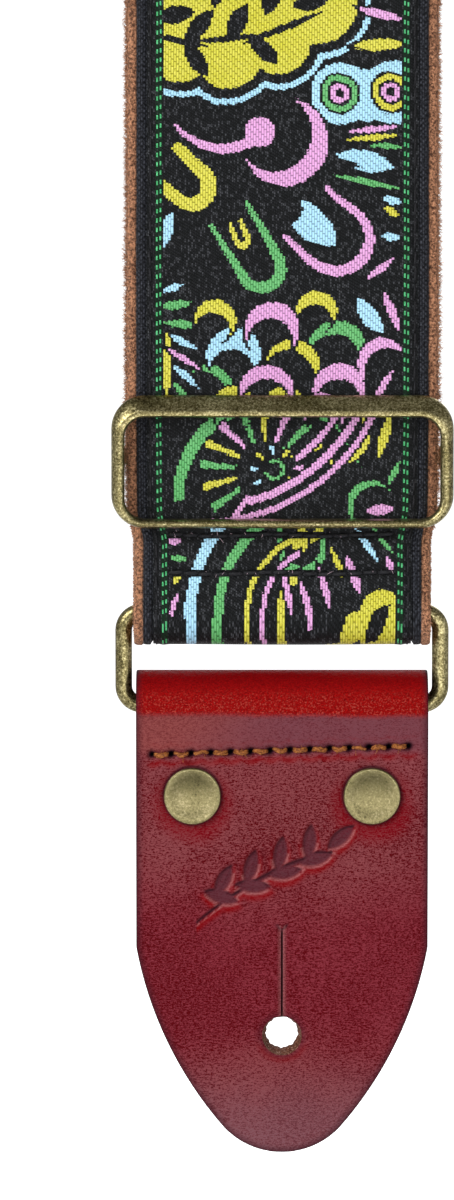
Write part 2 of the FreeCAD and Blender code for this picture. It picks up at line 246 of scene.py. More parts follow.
class Bundle:
    """Collects many small solids into one mesh."""

    def __init__(self):
        self.verts, self.faces, self.n, self.tags = [], [], 0, []

    def add(self, verts, faces, tag=0.0):
        self.verts.append(np.asarray(verts, float))
        self.faces += [tuple(i + self.n for i in f) for f in faces]
        self.n += len(verts)
        self.tags += [tag] * len(verts)

    def tube(self, points, radius, sides=6, twist=0.0, ply=0.0, tag=0.0):
        """A cord through the points; ply gives it the lumps of twisted plies."""
        p = np.asarray(points, float)
        n = len(p)
        d = np.gradient(p, axis=0)
        d /= np.linalg.norm(d, axis=1)[:, None]
        ref = np.array([0.03, -0.95, 0.31]) if abs(d[0][1]) < 0.8 else np.array([1.0, 0, 0])
        a = np.cross(d, ref)
        a /= np.linalg.norm(a, axis=1)[:, None]
        b = np.cross(d, a)
        run = np.concatenate([[0], np.cumsum(np.linalg.norm(np.diff(p, axis=0), axis=1))])
        th = np.arange(sides) * 2 * math.pi / sides
        r = radius if np.ndim(radius) else np.full(n, radius)
        rr = np.asarray(r)[:, None] * (1 + ply * np.cos(2 * th[None, :] + twist * run[:, None]))
        ring = p[:, None, :] + rr[..., None] * (
            np.cos(th)[None, :, None] * a[:, None, :] + np.sin(th)[None, :, None] * b[:, None, :]
        )
        faces = []
        for i in range(n - 1):
            for j in range(sides):
                k = (j + 1) % sides
                faces.append((i * sides + j, i * sides + k, (i + 1) * sides + k, (i + 1) * sides + j))
        faces.append(tuple(range(sides - 1, -1, -1)))
        faces.append(tuple(range((n - 1) * sides, n * sides)))
        self.add(ring.reshape(-1, 3), faces, tag)

    def spike(self, base, tip, width, bend):
        """A tapering fibre of three sides with one knee."""
        base, tip = np.asarray(base, float), np.asarray(tip, float)
        mid = (base + tip) / 2 + bend
        d = tip - base
        a = np.cross(d, [0.1, 0.9, 0.4])
        a /= np.linalg.norm(a)
        b = np.cross(d / np.linalg.norm(d), a)
        ring = [a, -0.5 * a + 0.87 * b, -0.5 * a - 0.87 * b]
        verts = [base + width * q for q in ring] + [mid + 0.7 * width * q for q in ring] + [tip]
        faces = [(0, 1, 4, 3), (1, 2, 5, 4), (2, 0, 3, 5), (3, 4, 6), (4, 5, 6), (5, 3, 6), (2, 1, 0)]
        self.add(verts, faces, rng.random())

    def finish(self, name, material):
        return make(name, np.concatenate(self.verts), self.faces, material, attrs={"tag": self.tags})


def lathe(bundle, x, y, z, outward, profile, sides=56):
    """A round cap about an axis along Y; profile runs from the rim's foot to the centre."""
    th = np.arange(sides) * 2 * math.pi / sides
    verts, faces = [], []
    for r, h in profile[:-1]:
        verts += [(x + r * math.cos(a), y + outward * h, z + r * math.sin(a)) for a in th]
    verts.append((x, y + outward * profile[-1][1], z))
    rows = len(profile) - 1
    for i in range(rows - 1):
        for j in range(sides):
            k = (j + 1) % sides
            quad = (i * sides + j, i * sides + k, (i + 1) * sides + k, (i + 1) * sides + j)
            faces.append(quad if outward > 0 else quad[::-1])
    for j in range(sides):
        tri = ((rows - 1) * sides + j, (rows - 1) * sides + (j + 1) % sides, len(verts) - 1)
        faces.append(tri if outward > 0 else tri[::-1])
    cap = tuple(range(sides))
    faces.append(cap[::-1] if outward > 0 else cap)
    bundle.add(verts, faces)


# ------------------------------------------------------------------ shader arithmetic
class Val:
    """A number in a shader graph; arithmetic on it adds maths nodes."""

    def __init__(self, g, sock):
        self.g, self.sock = g, sock

    def __add__(a, b): return a.g.m("ADD", a, b)
    def __radd__(a, b): return a.g.m("ADD", a, b)
    def __sub__(a, b): return a.g.m("SUBTRACT", a, b)
    def __rsub__(a, b): return a.g.m("SUBTRACT", b, a)
    def __mul__(a, b): return a.g.m("MULTIPLY", a, b)
    def __rmul__(a, b): return a.g.m("MULTIPLY", a, b)
    def __truediv__(a, b): return a.g.m("DIVIDE", a, b)
    def __neg__(a): return a.g.m("MULTIPLY", a, -1.0)


def graph_of(a, b): return a.g if isinstance(a, Val) else b.g
def mx(a, b): return graph_of(a, b).m("MAXIMUM", a, b)
def mn(a, b): return graph_of(a, b).m("MINIMUM", a, b)
def less(a, b): return graph_of(a, b).m("LESS_THAN", a, b)
def aabs(a): return a.g.m("ABSOLUTE", a)
def floor(a): return a.g.m("FLOOR", a)
def fract(a): return a.g.m("FRACT", a)
def sin(a): return a.g.m("SINE", a)
def clamp01(a): return a.g.m("MULTIPLY", a, 1.0, clamp=True)


class Graph:
    def __init__(self, name):
        self.mat = bpy.data.materials.new(name)
        self.mat.use_nodes = True
        self.t = self.mat.node_tree
        self.bsdf = self.t.nodes["Principled BSDF"]

    def _in(self, node, i, value):
        if value is None:
            return
        if isinstance(value, Val):
            self.t.links.new(value.sock, node.inputs[i])
        else:
            node.inputs[i].default_value = value

    def m(self, op, *args, clamp=False):
        n = self.t.nodes.new("ShaderNodeMath")
        n.operation, n.use_clamp = op, clamp
        for i, a in enumerate(args):
            self._in(n, i, a)
        return Val(self, n.outputs[0])

    def step(self, a, lo, hi):
        """Smooth 0 to 1 as a goes from lo to hi."""
        n = self.t.nodes.new("ShaderNodeMapRange")
        n.interpolation_type = "SMOOTHSTEP"
        for i, v in enumerate((a, lo, hi, 0.0, 1.0)):
            self._in(n, i, v)
        return Val(self, n.outputs[0])

    def vec(self, op, a, b=None):
        n = self.t.nodes.new("ShaderNodeVectorMath")
        n.operation = op
        self._in(n, 0, a)
        self._in(n, 1, b)
        return Val(self, n.outputs["Value" if op in ("DISTANCE", "LENGTH", "DOT_PRODUCT") else "Vector"])

    def attr(self, name, out="Vector"):
        n = self.t.nodes.new("ShaderNodeAttribute")
        n.attribute_name = name
        return Val(self, n.outputs[out])

    def place(self):
        """Where the point is in its own mesh, in millimetres."""
        n = self.t.nodes.new("ShaderNodeTexCoord")
        return self.vec("MULTIPLY", Val(self, n.outputs["Object"]), (1000.0, 1000.0, 1000.0))

    def split(self, v):
        n = self.t.nodes.new("ShaderNodeSeparateXYZ")
        self._in(n, 0, v)
        return [Val(self, o) for o in n.outputs]

    def join(self, x, y, z=0.0):
        n = self.t.nodes.new("ShaderNodeCombineXYZ")
        for i, a in enumerate((x, y, z)):
            self._in(n, i, a)
        return Val(self, n.outputs[0])

    def noise(self, v, scale, detail=2.0, rough=0.5, colour=False):
        n = self.t.nodes.new("ShaderNodeTexNoise")
        self._in(n, 0, v)
        n.inputs["Scale"].default_value = scale
        n.inputs["Detail"].default_value = detail
        n.inputs["Roughness"].default_value = rough
        return Val(self, n.outputs[1 if colour else 0])

    def voronoi(self, v, scale, feature="F1", out="Distance"):
        n = self.t.nodes.new("ShaderNodeTexVoronoi")
        n.feature = feature
        self._in(n, 0, v)
        n.inputs["Scale"].default_value = scale
        return Val(self, n.outputs[out])

    def white(self, v):
        n = self.t.nodes.new("ShaderNodeTexWhiteNoise")
        self._in(n, 0, v)
        return Val(self, n.outputs[0])

    def mix(self, fac, a, b, blend="MIX"):
        n = self.t.nodes.new("ShaderNodeMix")
        n.data_type, n.blend_type = "RGBA", blend
        self._in(n, 0, fac)
        self._in(n, 6, a if isinstance(a, Val) else (*a, 1.0))
        self._in(n, 7, b if isinstance(b, Val) else (*b, 1.0))
        return Val(self, n.outputs[2])

    def shade(self, colour, k):
        """Colour times a number."""
        return self.vec("MULTIPLY", colour, self.join(k, k, k))

    def bump(self, height, distance, strength=1.0, normal=None):
        n = self.t.nodes.new("ShaderNodeBump")
        n.inputs["Strength"].default_value = strength
        n.inputs["Distance"].default_value = distance * MM
        self._in(n, "Height", height)
        self._in(n, "Normal", normal)
        return Val(self, n.outputs[0])

    def out(self, **inputs):
        for key, value in inputs.items():
            self._in(self.bsdf, key.replace("_", " ").title().replace("Ior", "IOR"), value)
        return self.mat


# ------------------------------------------------------------------ the woven pattern
YELLOW, BLUE, PINK, GREEN = (0.60, 0.56, 0.028), (0.36, 0.66, 0.86), (0.69, 0.32, 0.62), (0.085, 0.40, 0.105)
REPEAT, FIRST = 130.0, 65.0
THREAD_U, THREAD_V, FLOAT_V, GAP = 0.44, 0.36, 1.2, 0.42


def woven_motifs(g, u, v):
    """Distances to the motifs of each colour, in a repeat that joins end to end."""
    near = g.join(u, g.m("WRAP", v, FIRST + REPEAT, FIRST))
    far = g.join(u, g.m("WRAP", v, FIRST + 1.5 * REPEAT, FIRST + 0.5 * REPEAT))
    found = {}

    def add(colour, d):
        found[colour] = mn(found[colour], d) if colour in found else d

    def dist(p, c):
        return g.vec("DISTANCE", p, (c[0], c[1], 0))

    def axes(p, c, deg):
        """Coordinates of p in a frame at c whose first axis points at an angle."""
        ex = (math.cos(math.radians(deg)), math.sin(math.radians(deg)), 0.0)
        ey = (-ex[1], ex[0], 0.0)
        x = g.vec("DOT_PRODUCT", p, ex) - (c[0] * ex[0] + c[1] * ex[1])
        return x, g.vec("DOT_PRODUCT", p, ey) - (c[0] * ey[0] + c[1] * ey[1])

    def leaf(c, deg, a, b, p=near):
        r = (a * a + b * b) / (2 * b)
        nx, ny = -math.sin(math.radians(deg)) * (r - b), math.cos(math.radians(deg)) * (r - b)
        return mx(dist(p, (c[0] + nx, c[1] + ny)), dist(p, (c[0] - nx, c[1] - ny))) - r

    def crescent(c, r, o, r2, p=near):
        return mx(dist(p, c) - r, r2 - dist(p, o))

    def ring(c, r, w, p=near):
        return aabs(dist(p, c) - r) - w

    def hook(c, deg, r, length, w, p=near):
        x, y = axes(p, c, deg)
        d = aabs(g.vec("LENGTH", g.join(x, mn(y, 0.0))) - r) - (w - 0.045 * y)
        return mx(d, y - length)

    def union(discs, p):
        d = None
        for x, y, r in discs:
            e = dist(p, (x, y)) - r
            d = e if d is None else mn(d, e)
        return d

    def lobes(discs, leaves, p):
        d = union(discs, p)
        solid = d
        for cx, cy, deg, a, b in leaves:
            solid = mx(solid, -leaf((cx, cy), deg, a, b, p))
        return d, solid

    edge, solid = lobes(
        [(-17, 166, 6.5), (-9, 164, 5.6), (-1, 166.5, 5.8), (6, 172, 6.2), (9.5, 179, 5.2), (-12, 173, 8),
         (-2, 176, 9), (3, 185, 5.6), (-7, 186, 6.4), (-16, 181, 6.2)],
        [(-18.0, 170.4, 8, 3.4, 1.5), (-13.9, 168.6, 48, 3.6, 1.5), (-14.2, 163.2, -58, 3.4, 1.4),
         (-17.0, 166.2, -10, 5.4, 0.55), (-7.4, 169.4, 62, 3.4, 1.5), (-3.4, 164.6, -42, 3.4, 1.5),
         (-9.0, 166.6, 4, 6.6, 0.55), (0.2, 168.4, 22, 7.6, 0.6), (4.6, 172.6, 14, 3.2, 1.4),
         (-1.4, 173.8, 66, 3.8, 1.5), (5.2, 178.6, 70, 3.2, 1.2), (-10.6, 175.6, 78, 4.2, 1.6),
         (-17.6, 177.4, 104, 3.6, 1.3), (-5.6, 181.2, 118, 4.2, 1.5), (0.6, 183.0, 60, 3.8, 1.3),
         (-12.2, 184.8, 84, 3.6, 1.3)],
        far,
    )
    add("y", solid)
    add("b", aabs(edge - 2.1) - 0.48)

    eyes = [(9.4, 157.6), (17.9, 157.8)]
    head = union([(9.7, 157.6, 5.1), (13.8, 157.3, 4.4), (18.6, 157.8, 5.3)], near)
    for c in eyes:
        head = mx(head, 3.5 - dist(near, c))
    add("b", head)
    add("g", ring(eyes[0], 2.65, 0.5))
    add("y", ring(eyes[1], 2.65, 0.48))
    add("p", ring(eyes[0], 1.2, 0.42))
    add("p", ring(eyes[1], 1.2, 0.42))

    for colour, c, deg, a, b in (
        ("p", (16.2, 170.6), -14, 4.2, 0.75), ("y", (16.0, 165.6), 4, 4.8, 0.95), ("p", (15.2, 151.7), 7, 4.6, 0.5),
        ("y", (15.0, 150.3), 6, 4.6, 0.5), ("g", (17.2, 148.9), -2, 3.0, 0.5), ("g", (14.2, 142.9), -10, 6.0, 0.55),
        ("b", (-19.3, 134.8), 76, 3.2, 1.1), ("b", (18.1, 139.9), -12, 1.7, 0.7), ("y", (18.0, 138.1), -24, 1.5, 0.6),
        ("b", (18.0, 133.9), -4, 1.6, 0.7), ("p", (16.2, 128.6), 38, 3.0, 0.6), ("b", (14.4, 120.6), -52, 3.6, 1.5),
        ("p", (18.2, 121.6), -66, 3.8, 0.75), ("b", (-18.2, 125.4), 22, 1.9, 0.6), ("g", (-17.6, 122.6), 8, 2.6, 0.75),
        ("g", (-16.9, 119.4), -4, 2.9, 0.65), ("b", (-16.4, 116.4), -24, 3.0, 0.6), ("p", (-16.3, 113.6), -30, 3.2, 0.5),
        ("b", (-16.0, 110.8), -40, 3.0, 0.55), ("g", (-16.6, 108.0), -48, 2.6, 0.5), ("y", (-19.2, 112.6), 88, 6.0, 0.8),
        ("p", (16.6, 109.0), 58, 3.6, 0.55), ("y", (17.0, 101.0), 74, 4.2, 0.8), ("g", (18.6, 94.6), 62, 2.4, 0.5),
        ("p", (1.0, 74.6), 100, 4.2, 0.6), ("p", (4.2, 73.0), 104, 4.0, 0.62), ("p", (7.4, 75.2), 108, 4.0, 0.65),
        ("y", (9.6, 79.6), 112, 2.8, 0.55), ("b", (14.6, 82.6), -54, 3.8, 0.6), ("p", (12.4, 77.6), -66, 3.6, 0.75),
        ("g", (17.4, 83.4), -48, 3.0, 0.5), ("p", (18.6, 79.4), -60, 1.6, 0.6), ("p", (-19.0, 83.4), 10, 1.6, 0.8),
        ("g", (-18.0, 80.4), -8, 1.7, 0.45), ("y", (-18.4, 77.0), 80, 1.1, 0.5), ("p", (-18.8, 72.6), 70, 2.4, 0.5),
        ("y", (3.2, 83.2), 84, 2.6, 1.3), ("y", (6.0, 84.4), 58, 1.8, 0.7),
    ):
        add(colour, leaf(c, deg, a, b))

    for colour, c, r, o, r2 in (
        ("p", (0.2, 149.6), 7.3, (-1.6, 151.1), 6.5), 
        ("y", (-11.2, 120.0), 3.5, (-11.6, 118.4), 3.0), ("p", (-1.8, 118.4), 4.6, (-2.1, 116.4), 3.9),
        ("y", (5.6, 121.6), 3.4, (5.4, 119.8), 2.9), ("g", (9.0, 115.4), 4.6, (8.4, 113.5), 4.2),
        ("b", (-8.0, 114.4), 4.4, (-8.3, 111.6), 3.7), ("y", (1.8, 112.4), 4.6, (1.0, 110.8), 4.4),
        ("p", (16.6, 113.0), 4.2, (17.6, 111.4), 4.1), ("g", (-12.2, 108.6), 4.2, (-13.3, 107.4), 4.2),
        ("p", (-2.6, 108.0), 4.6, (-2.7, 106.2), 4.1), ("p", (9.4, 108.6), 4.3, (9.2, 106.6), 3.7),
        ("y", (-8.0, 105.6), 3.5, (-8.1, 104.2), 3.2), ("y", (0.4, 105.4), 3.7, (0.4, 104.0), 3.3),
        ("p", (6.9, 104.6), 3.4, (6.7, 103.1), 3.0), ("y", (9.6, 101.2), 5.0, (8.4, 101.6), 4.8),
        ("g", (14.8, 89.4), 4.0, (15.6, 88.7), 3.9),
    ):
        add(colour, crescent(c, r, o, r2))
    tail = crescent((-9.6, 157.4), 9.8, (-10.3, 159.2), 9.9)
    add("p", mn(mx(tail, g.split(near)[1] - 152.4), dist(near, (-3.9, 151.1)) - 2.5))
    add("b", mx(leaf((13.6, 146.4), -12, 4.9, 1.7), -leaf((9.6, 146.2), -14, 3.6, 0.6)))
    add("p", leaf((16.2, 88.4), 8, 2.5, 0.9))
    add("b", mx(leaf((4.4, 136.4), -42, 5.8, 2.7), 2.9 - dist(near, (0.4, 138.6))))
    add("g", hook((-3.6, 129.0), 32, 3.5, 10.4, 0.78))
    add("y", hook((-6.6, 133.4), 20, 0.95, 3.4, 0.5))
    add("y", hook((-15.3, 142.3), 46, 3.1, 6.6, 1.1))
    add("p", hook((8.9, 133.6), 50, 5.3, 7.0, 0.72))
    add("g", hook((3.4, 82.2), 4, 3.7, 3.6, 0.5))

    def turn(c, count, r0, r1, width, phase):
        x, y = axes(near, c, 0)
        rad = g.vec("LENGTH", g.join(x, y))
        k = g.m("ARCTAN2", y, x) * (count / (2 * math.pi)) + phase
        across = aabs(fract(k) - 0.5) * rad * (2 * math.pi / count)
        d = mx(mx(across - width * rad, r0 - rad), rad - r1)
        return d, floor(k), x, y

    d, cell, x, y = turn((-3.0, 95.0), 17, 4.9, 10.6, 0.062, 0.3)
    d = mx(d, x * 0.8 - y - 4.6)
    for i, colour in enumerate("pyg"):
        wrong = less(0.5, aabs(g.m("WRAP", cell, 3.0, 0.0) - float(i)))
        add(colour, d + wrong * 50.0)
    d, cell, x, y = turn((-1.4, 95.0), 9, 2.6, 4.1, 0.09, 0.1)
    odd = less(0.5, g.m("WRAP", cell, 2.0, 0.0))
    add("b", d + odd * 50.0)
    add("y", d + (1.0 - odd) * 50.0)
    add("g", mx(ring((-1.4, 95.2), 1.45, 0.3), -leaf((-3.2, 95.6), 10, 2.0, 0.8)))

    nx, ny, _ = g.split(near)
    add("g", mx(crescent((-2.2, 91.4), 15.8, (-1.2, 90.2), 15.2), 90.0 - ny))
    for radius, width, left in ((25.6, 0.5, 2.0), (28.6, 0.62, -6.0), (31.0, 0.5, -12.0)):
        add("p", mx(mx(ring((-13.0, 117.5), radius, width), left - nx), ny - 107.0))
    for colour, radius, width in (("b", 24.4, 0.95), ("g", 19.6, 0.85), ("y", 14.6, 0.45), ("p", 12.0, 0.42), ("y", 8.9, 0.75)):
        d = mx(mx(ring((8.4, 70.6), radius, width), nx - 3.0), 60.0 - ny)
        add(colour, mx(d, ny - 85.8))
    edge, solid = lobes(
        [(9.6, 64.6, 3.6), (13.6, 68.0, 3.6), (17.4, 71.6, 3.6), (19.4, 66.6, 4.2), (14.0, 63.0, 4.2)],
        [(12.2, 66.0, 64, 3.0, 1.1), (16.6, 70.4, 46, 3.2, 1.2), (17.4, 65.6, -10, 3.4, 1.0)], near,
    )
    add("y", solid)

    return found


def ribbon_material():
    g = Graph("patterned_ribbon")
    u, v, row_gap_and_shade = g.split(g.attr("strap_mm"))
    column = floor(u / THREAD_U)
    stagger = g.m("WRAP", column, 3.0, 0.0) / 3.0
    row = floor(v / THREAD_V + stagger)
    uq = (column + 0.5) * THREAD_U
    vq = (row + 0.5 - stagger) * THREAD_V
    rough_edge = g.noise(g.join(u * 0.12, v * 0.12), 1.0, 1.0) - 0.5
    d = woven_motifs(g, uq + rough_edge * 1.0, vq + rough_edge * 0.8)
    in_field = less(aabs(u), 19.7) * less(row_gap_and_shade, 0.45)
    speck = g.white(g.join(column, row, 1.0))
    # threads: rounded columns, each float diving under at a diagonal lattice of dimples
    along_column = sin(fract(u / THREAD_U) * math.pi)
    float_v = fract(v / FLOAT_V + stagger)
    float_round = clamp01(sin(float_v * math.pi) * 2.6)
    float_h = (0.50 + 0.50 * along_column) * (0.30 + 0.70 * float_round)
    ground_v = fract(v / 0.50 + g.m("WRAP", floor(u / 0.29), 3.0, 0.0) * 0.333)
    ground_h = sin(fract(u / 0.29) * math.pi) * sin(ground_v * math.pi)
    colour = g.mix(speck * 0.6, (0.0045, 0.0058, 0.0062), (0.0160, 0.0168, 0.0195))
    glint = less(0.78, g.white(g.join(floor(u / 0.29), floor(v / 0.50), 4.0)))
    colour = g.mix(glint * 0.40, colour, (0.105, 0.110, 0.122))
    # painted shade: the black ground is darkened between its weave threads by ground_h, and along the cross rows where
    # the fabric dips into the sewn groove
    colour = g.shade(colour, (0.12 + 1.30 * ground_h) * (1.0 - 0.7 * row_gap_and_shade))
    is_float = taken = None
    slow = g.noise(g.join(u * 0.05, v * 0.05), 1.0, 2.0)
    fibre = g.noise(g.join(u * 5.0, v * 1.3), 1.0, 2.0)
    # painted shade: each thread's colour is darkened by the weave height, in the dimples where a float dives under and
    # between the columns
    shade = (0.20 + 0.92 * float_h) * (0.80 + 0.40 * fibre)
    for key, rgb in (("p", PINK), ("y", YELLOW), ("b", BLUE), ("g", GREEN)):
        inside = less(d[key], 0.0) * in_field
        if taken is not None:
            inside = inside * less(GAP, taken)
        taken = d[key] if taken is None else mn(taken, d[key])
        # painted highlight: the tops of the floats are mixed toward a paler copy of the thread's colour
        pale = tuple(min(1.0, c * 1.10 + 0.075) for c in rgb)
        thread = g.shade(g.mix(clamp01(float_h * 1.5 - 1.0 + speck * 0.5 + (slow - 0.5) * 1.2), rgb, pale), shade)
        colour = g.mix(inside, colour, thread)
        is_float = inside if is_float is None else mx(is_float, inside)
    # the woven green edge: two columns of short floats
    au = aabs(u)
    dots = mn(less(aabs(au - 20.22), 0.14) + less(aabs(au - 20.78), 0.14), 1.0)
    dots = dots * less(fract(v / 1.55 + floor(au - 19.5) * 0.12), 0.46)
    colour = g.mix(less(aabs(au - 20.5), 0.55) * 0.6, colour, (0.002, 0.022, 0.006))
    colour = g.mix(dots, colour, g.mix(speck, (0.05, 0.36, 0.12), (0.12, 0.58, 0.24)))
    height = ground_h * 0.35 * (1.0 - is_float) + (float_h * 0.8 + 0.3) * is_float + dots * 0.4
    fuzz = g.noise(g.join(u * 3.0, v * 3.0), 1.0, 3.0)
    normal = g.bump(height + fuzz * 0.15, 0.15, 0.8)
    return g.out(
        base_color=colour, roughness=0.55 - 0.10 * is_float, normal=normal,
        sheen_weight=0.04, sheen_roughness=0.5, specular_ior_level=0.12 + 0.12 * is_float,
    )


def webbing_material():
    g = Graph("black_webbing")
    u, v, row = g.split(g.attr("strap_mm"))
    rib = fract(v / 0.85 + 0.5 * g.m("WRAP", floor(u / 0.42), 2.0, 0.0))
    h = sin(rib * math.pi) * sin(fract(u / 0.42) * math.pi)
    grit = g.noise(g.join(u * 2.2, v * 2.2), 1.0, 4.0, 0.65)
    colour = g.mix(clamp01(grit * 4.2 - 1.65), (0.0026, 0.0030, 0.0052), (0.060, 0.064, 0.080))
    # painted shade: the colour is darkened between the ribs by their height h
    colour = g.shade(colour, 0.20 + 1.15 * h)
    normal = g.bump(h + grit * 0.7, 0.22, 0.8)
    return g.out(base_color=colour, roughness=0.72, normal=normal, sheen_weight=0.05, specular_ior_level=0.14)


def suede_material(name, dark, light, scale):
    g = Graph(name)
    p = g.place()
    nap = g.noise(p, 1.4 * scale, 6.0, 0.72)
    big = g.noise(p, 0.16, 3.0)
    tag = g.attr("tag", "Fac")
    k = clamp01(nap * 5.6 - 2.36 + (big - 0.5) * 0.7 + tag * 0.5)
    colour = g.mix(k, dark, light)
    normal = g.bump(nap, 0.5, 0.9)
    return g.out(
        base_color=colour, roughness=0.95, normal=normal, specular_ior_level=0.1,
        sheen_weight=0.4, sheen_roughness=0.6, sheen_tint=(1.0, 0.66, 0.48, 1.0),
    )


def thread_material(name, dark, light, shine):
    g = Graph(name)
    p = g.place()
    fibre = g.noise(g.vec("MULTIPLY", p, (2.2, 4.0, 5.0)), 1.0, 4.0, 0.7)
    colour = g.mix(clamp01(fibre * 3.0 - 1.0), dark, light)
    return g.out(base_color=colour, roughness=shine, normal=g.bump(fibre, 0.12, 0.9), specular_ior_level=0.18)


def brass_material(name, dark, mid, light, speckle, up_facing_shade):
    g = Graph(name)
    p = g.place()
    fine = g.noise(p, 2.6, 5.0, 0.75)
    broad = g.noise(p, 0.22, 3.0, 0.6)
    pits = g.voronoi(p, 2.1)
    k = clamp01((fine - 0.5) * speckle + 0.5 + (broad - 0.5) * 0.9)
    colour = g.mix(g.step(k, 0.05, 0.55), dark, mid)
    colour = g.mix(g.step(k, 0.5, 1.0), colour, light)
    # painted shade: faces that look up are darkened toward the dark colour, standing in for the dark ceiling they
    # reflect
    geo = g.t.nodes.new("ShaderNodeNewGeometry")
    up = g.split(Val(g, geo.outputs["Normal"]))[2]
    colour = g.mix(g.step(up, up_facing_shade[0], up_facing_shade[1]) * up_facing_shade[2], colour, dark)
    rough = 0.17 + 0.20 * fine + 0.08 * broad
    normal = g.bump(fine * 0.6 + g.step(pits, 0.0, 0.35) * 0.5, 0.055, 0.65)
    return g.out(base_color=colour, metallic=0.92, roughness=rough, normal=normal)


def leather_material(name, rivet_xz, roll, sheen_free_z):
    """Waxed oxblood leather, with its sheen, highlights and shade partly painted into the colour. roll is the z above
    which it is stretched over the ring, or None.
    """
    g = Graph(name)
    p = g.place()
    x, y, z = g.split(p)
    streak = g.noise(g.vec("MULTIPLY", p, (0.75, 1.0, 2.1)), 2.0, 5.0, 0.70)
    fine = g.noise(g.vec("MULTIPLY", p, (1.0, 1.0, 1.6)), 3.2, 4.0, 0.74)
    cloud = g.noise(p, 0.045, 3.0, 0.55)
    grain = g.voronoi(g.vec("MULTIPLY", p, (1.0, 1.0, 1.5)), 1.15, "SMOOTH_F1")
    k = clamp01((streak - 0.5) * 5.2 + (fine - 0.5) * 6.0 + 0.46 + (cloud - 0.5) * 1.7)
    colour = g.mix(k, (0.096, 0.0005, 0.0032), (0.232, 0.0290, 0.0430))
    # painted sheen: a soft hazy reflection over most of the face, fading out in the middle of the tongue
    away = g.m("ABSOLUTE", z - sheen_free_z) / 17.0 - aabs(x) * 0.014
    painted_sheen = clamp01(g.step(away + (cloud - 0.5) * 1.5, 0.15, 1.5) * (1.45 * k - 0.08))
    colour = g.mix(painted_sheen * 0.85, colour, (0.246, 0.064, 0.070))
    sand = g.noise(p, 3.4, 3.0, 0.6)
    colour = g.mix(g.step(sand, 0.62, 0.78) * 0.34, colour, (0.36, 0.105, 0.115))
    # painted sheen: a paler, greyer haze toward the tip
    tip = g.step(z - sheen_free_z + (cloud - 0.5) * 16.0, -11.0, -27.0)
    colour = g.mix(tip * (0.30 + 0.48 * k), colour, (0.195, 0.087, 0.106))
    halo = None
    for cx, cz in rivet_xz:
        d = g.vec("DISTANCE", g.join(x, z), (cx, cz - 1.6, 0))
        near = 1.0 - g.step(d + (cloud - 0.5) * 3.0, 4.6, 8.0)
        halo = near if halo is None else mx(halo, near)
    colour = g.mix(halo * (1.0 - 0.45 * k), colour, (0.185, 0.0007, 0.0052))
    wear_and_shade = g.attr("wear_and_shade", "Fac")
    edge = g.attr("edge", "Fac")
    # wear_and_shade: a deep saturated red for the worn patch below the hole and the band below the mark, and painted
    # shade in the creases along the stitch rows
    colour = g.mix(wear_and_shade * 0.9, colour, (0.24, 0.0010, 0.0026))
    if roll is not None:
        top = g.step(z + (fine - 0.5) * 1.6 + (cloud - 0.5) * 2.4, roll, roll + 1.3)
        # painted sheen: a hazy band just below the roll, warmer toward the left
        band = g.step(z, roll - 7.0, roll - 4.4) * (1.0 - top)
        warm = g.step(x + (cloud - 0.5) * 30.0, 4.0, -20.0)
        sheen_colour = g.mix(warm, (0.168, 0.050, 0.066), (0.265, 0.064, 0.060))
        colour = g.mix(band * (0.42 + 0.5 * k), colour, sheen_colour)
        red = g.mix(clamp01(fine * 3.4 - 1.2), (0.145, 0.0004, 0.0010), (0.37, 0.0030, 0.0030))
        # painted shade: the roll's red darkens toward its top
        red = g.mix(g.step(z, roll + 4.0, roll + 7.0) * 0.35, red, (0.11, 0.0015, 0.0040))
        colour = g.mix(top, colour, red)
        spark = g.step(sand, 0.50, 0.70) * top * (1.0 - g.step(z, roll + 2.6, roll + 5.4))
        colour = g.mix(spark * 0.62, colour, (0.52, 0.085, 0.060))
    pressed = g.attr("pressed", "Fac")
    colour = g.mix(clamp01(pressed) * (0.55 + 0.35 * k), colour, (0.098, 0.028, 0.040))
    # edge: the tab's own dark cut edges, with painted shade in the needle holes, slit, mark edges, fork, creases and
    # round the rivet caps
    colour = g.mix(clamp01(edge), colour, (0.034, 0.0085, 0.0150))
    colour = g.mix(clamp01(g.attr("shine", "Fac") * (fine * 2.0 - 0.45)), colour, (0.50, 0.22, 0.22))
    # near-black painted shade deep in the needle holes
    colour = g.mix(clamp01(edge * 2.0 - 2.0), colour, (0.001, 0.0006, 0.0006))
    wall = g.mix(clamp01(fine * 3.0 - 1.0), (0.030, 0.008, 0.006), (0.20, 0.072, 0.036))
    # painted highlights: light glints on the hole's cut wall
    wall = g.mix(g.step(sand, 0.55, 0.66), wall, (0.50, 0.30, 0.22))
    colour = g.mix(g.step(g.attr("raw", "Fac"), 0.3, 0.9), colour, wall)
    h = fine * 0.6 + streak * 0.6 + g.step(grain, 0.0, 0.5) * 0.30
    normal = g.bump(h, 0.26, 0.75)
    rough = clamp01(0.40 + 0.22 * fine + 0.10 * edge)
    return g.out(
        base_color=colour, roughness=rough, normal=normal, specular_ior_level=0.035,
    )


RIBBON = ribbon_material()
WEBBING = webbing_material()
SUEDE = suede_material("brown_suede", (0.055, 0.016, 0.007), (0.65, 0.30, 0.158), 1.7)
FUZZ = suede_material("suede_fibres", (0.26, 0.095, 0.042), (0.78, 0.40, 0.23), 1.6)
BLACK_THREAD = thread_material("black_thread", (0.005, 0.005, 0.006), (0.030, 0.030, 0.034), 0.55)
BROWN_THREAD = thread_material("brown_thread", (0.070, 0.013, 0.004), (0.56, 0.20, 0.048), 0.5)
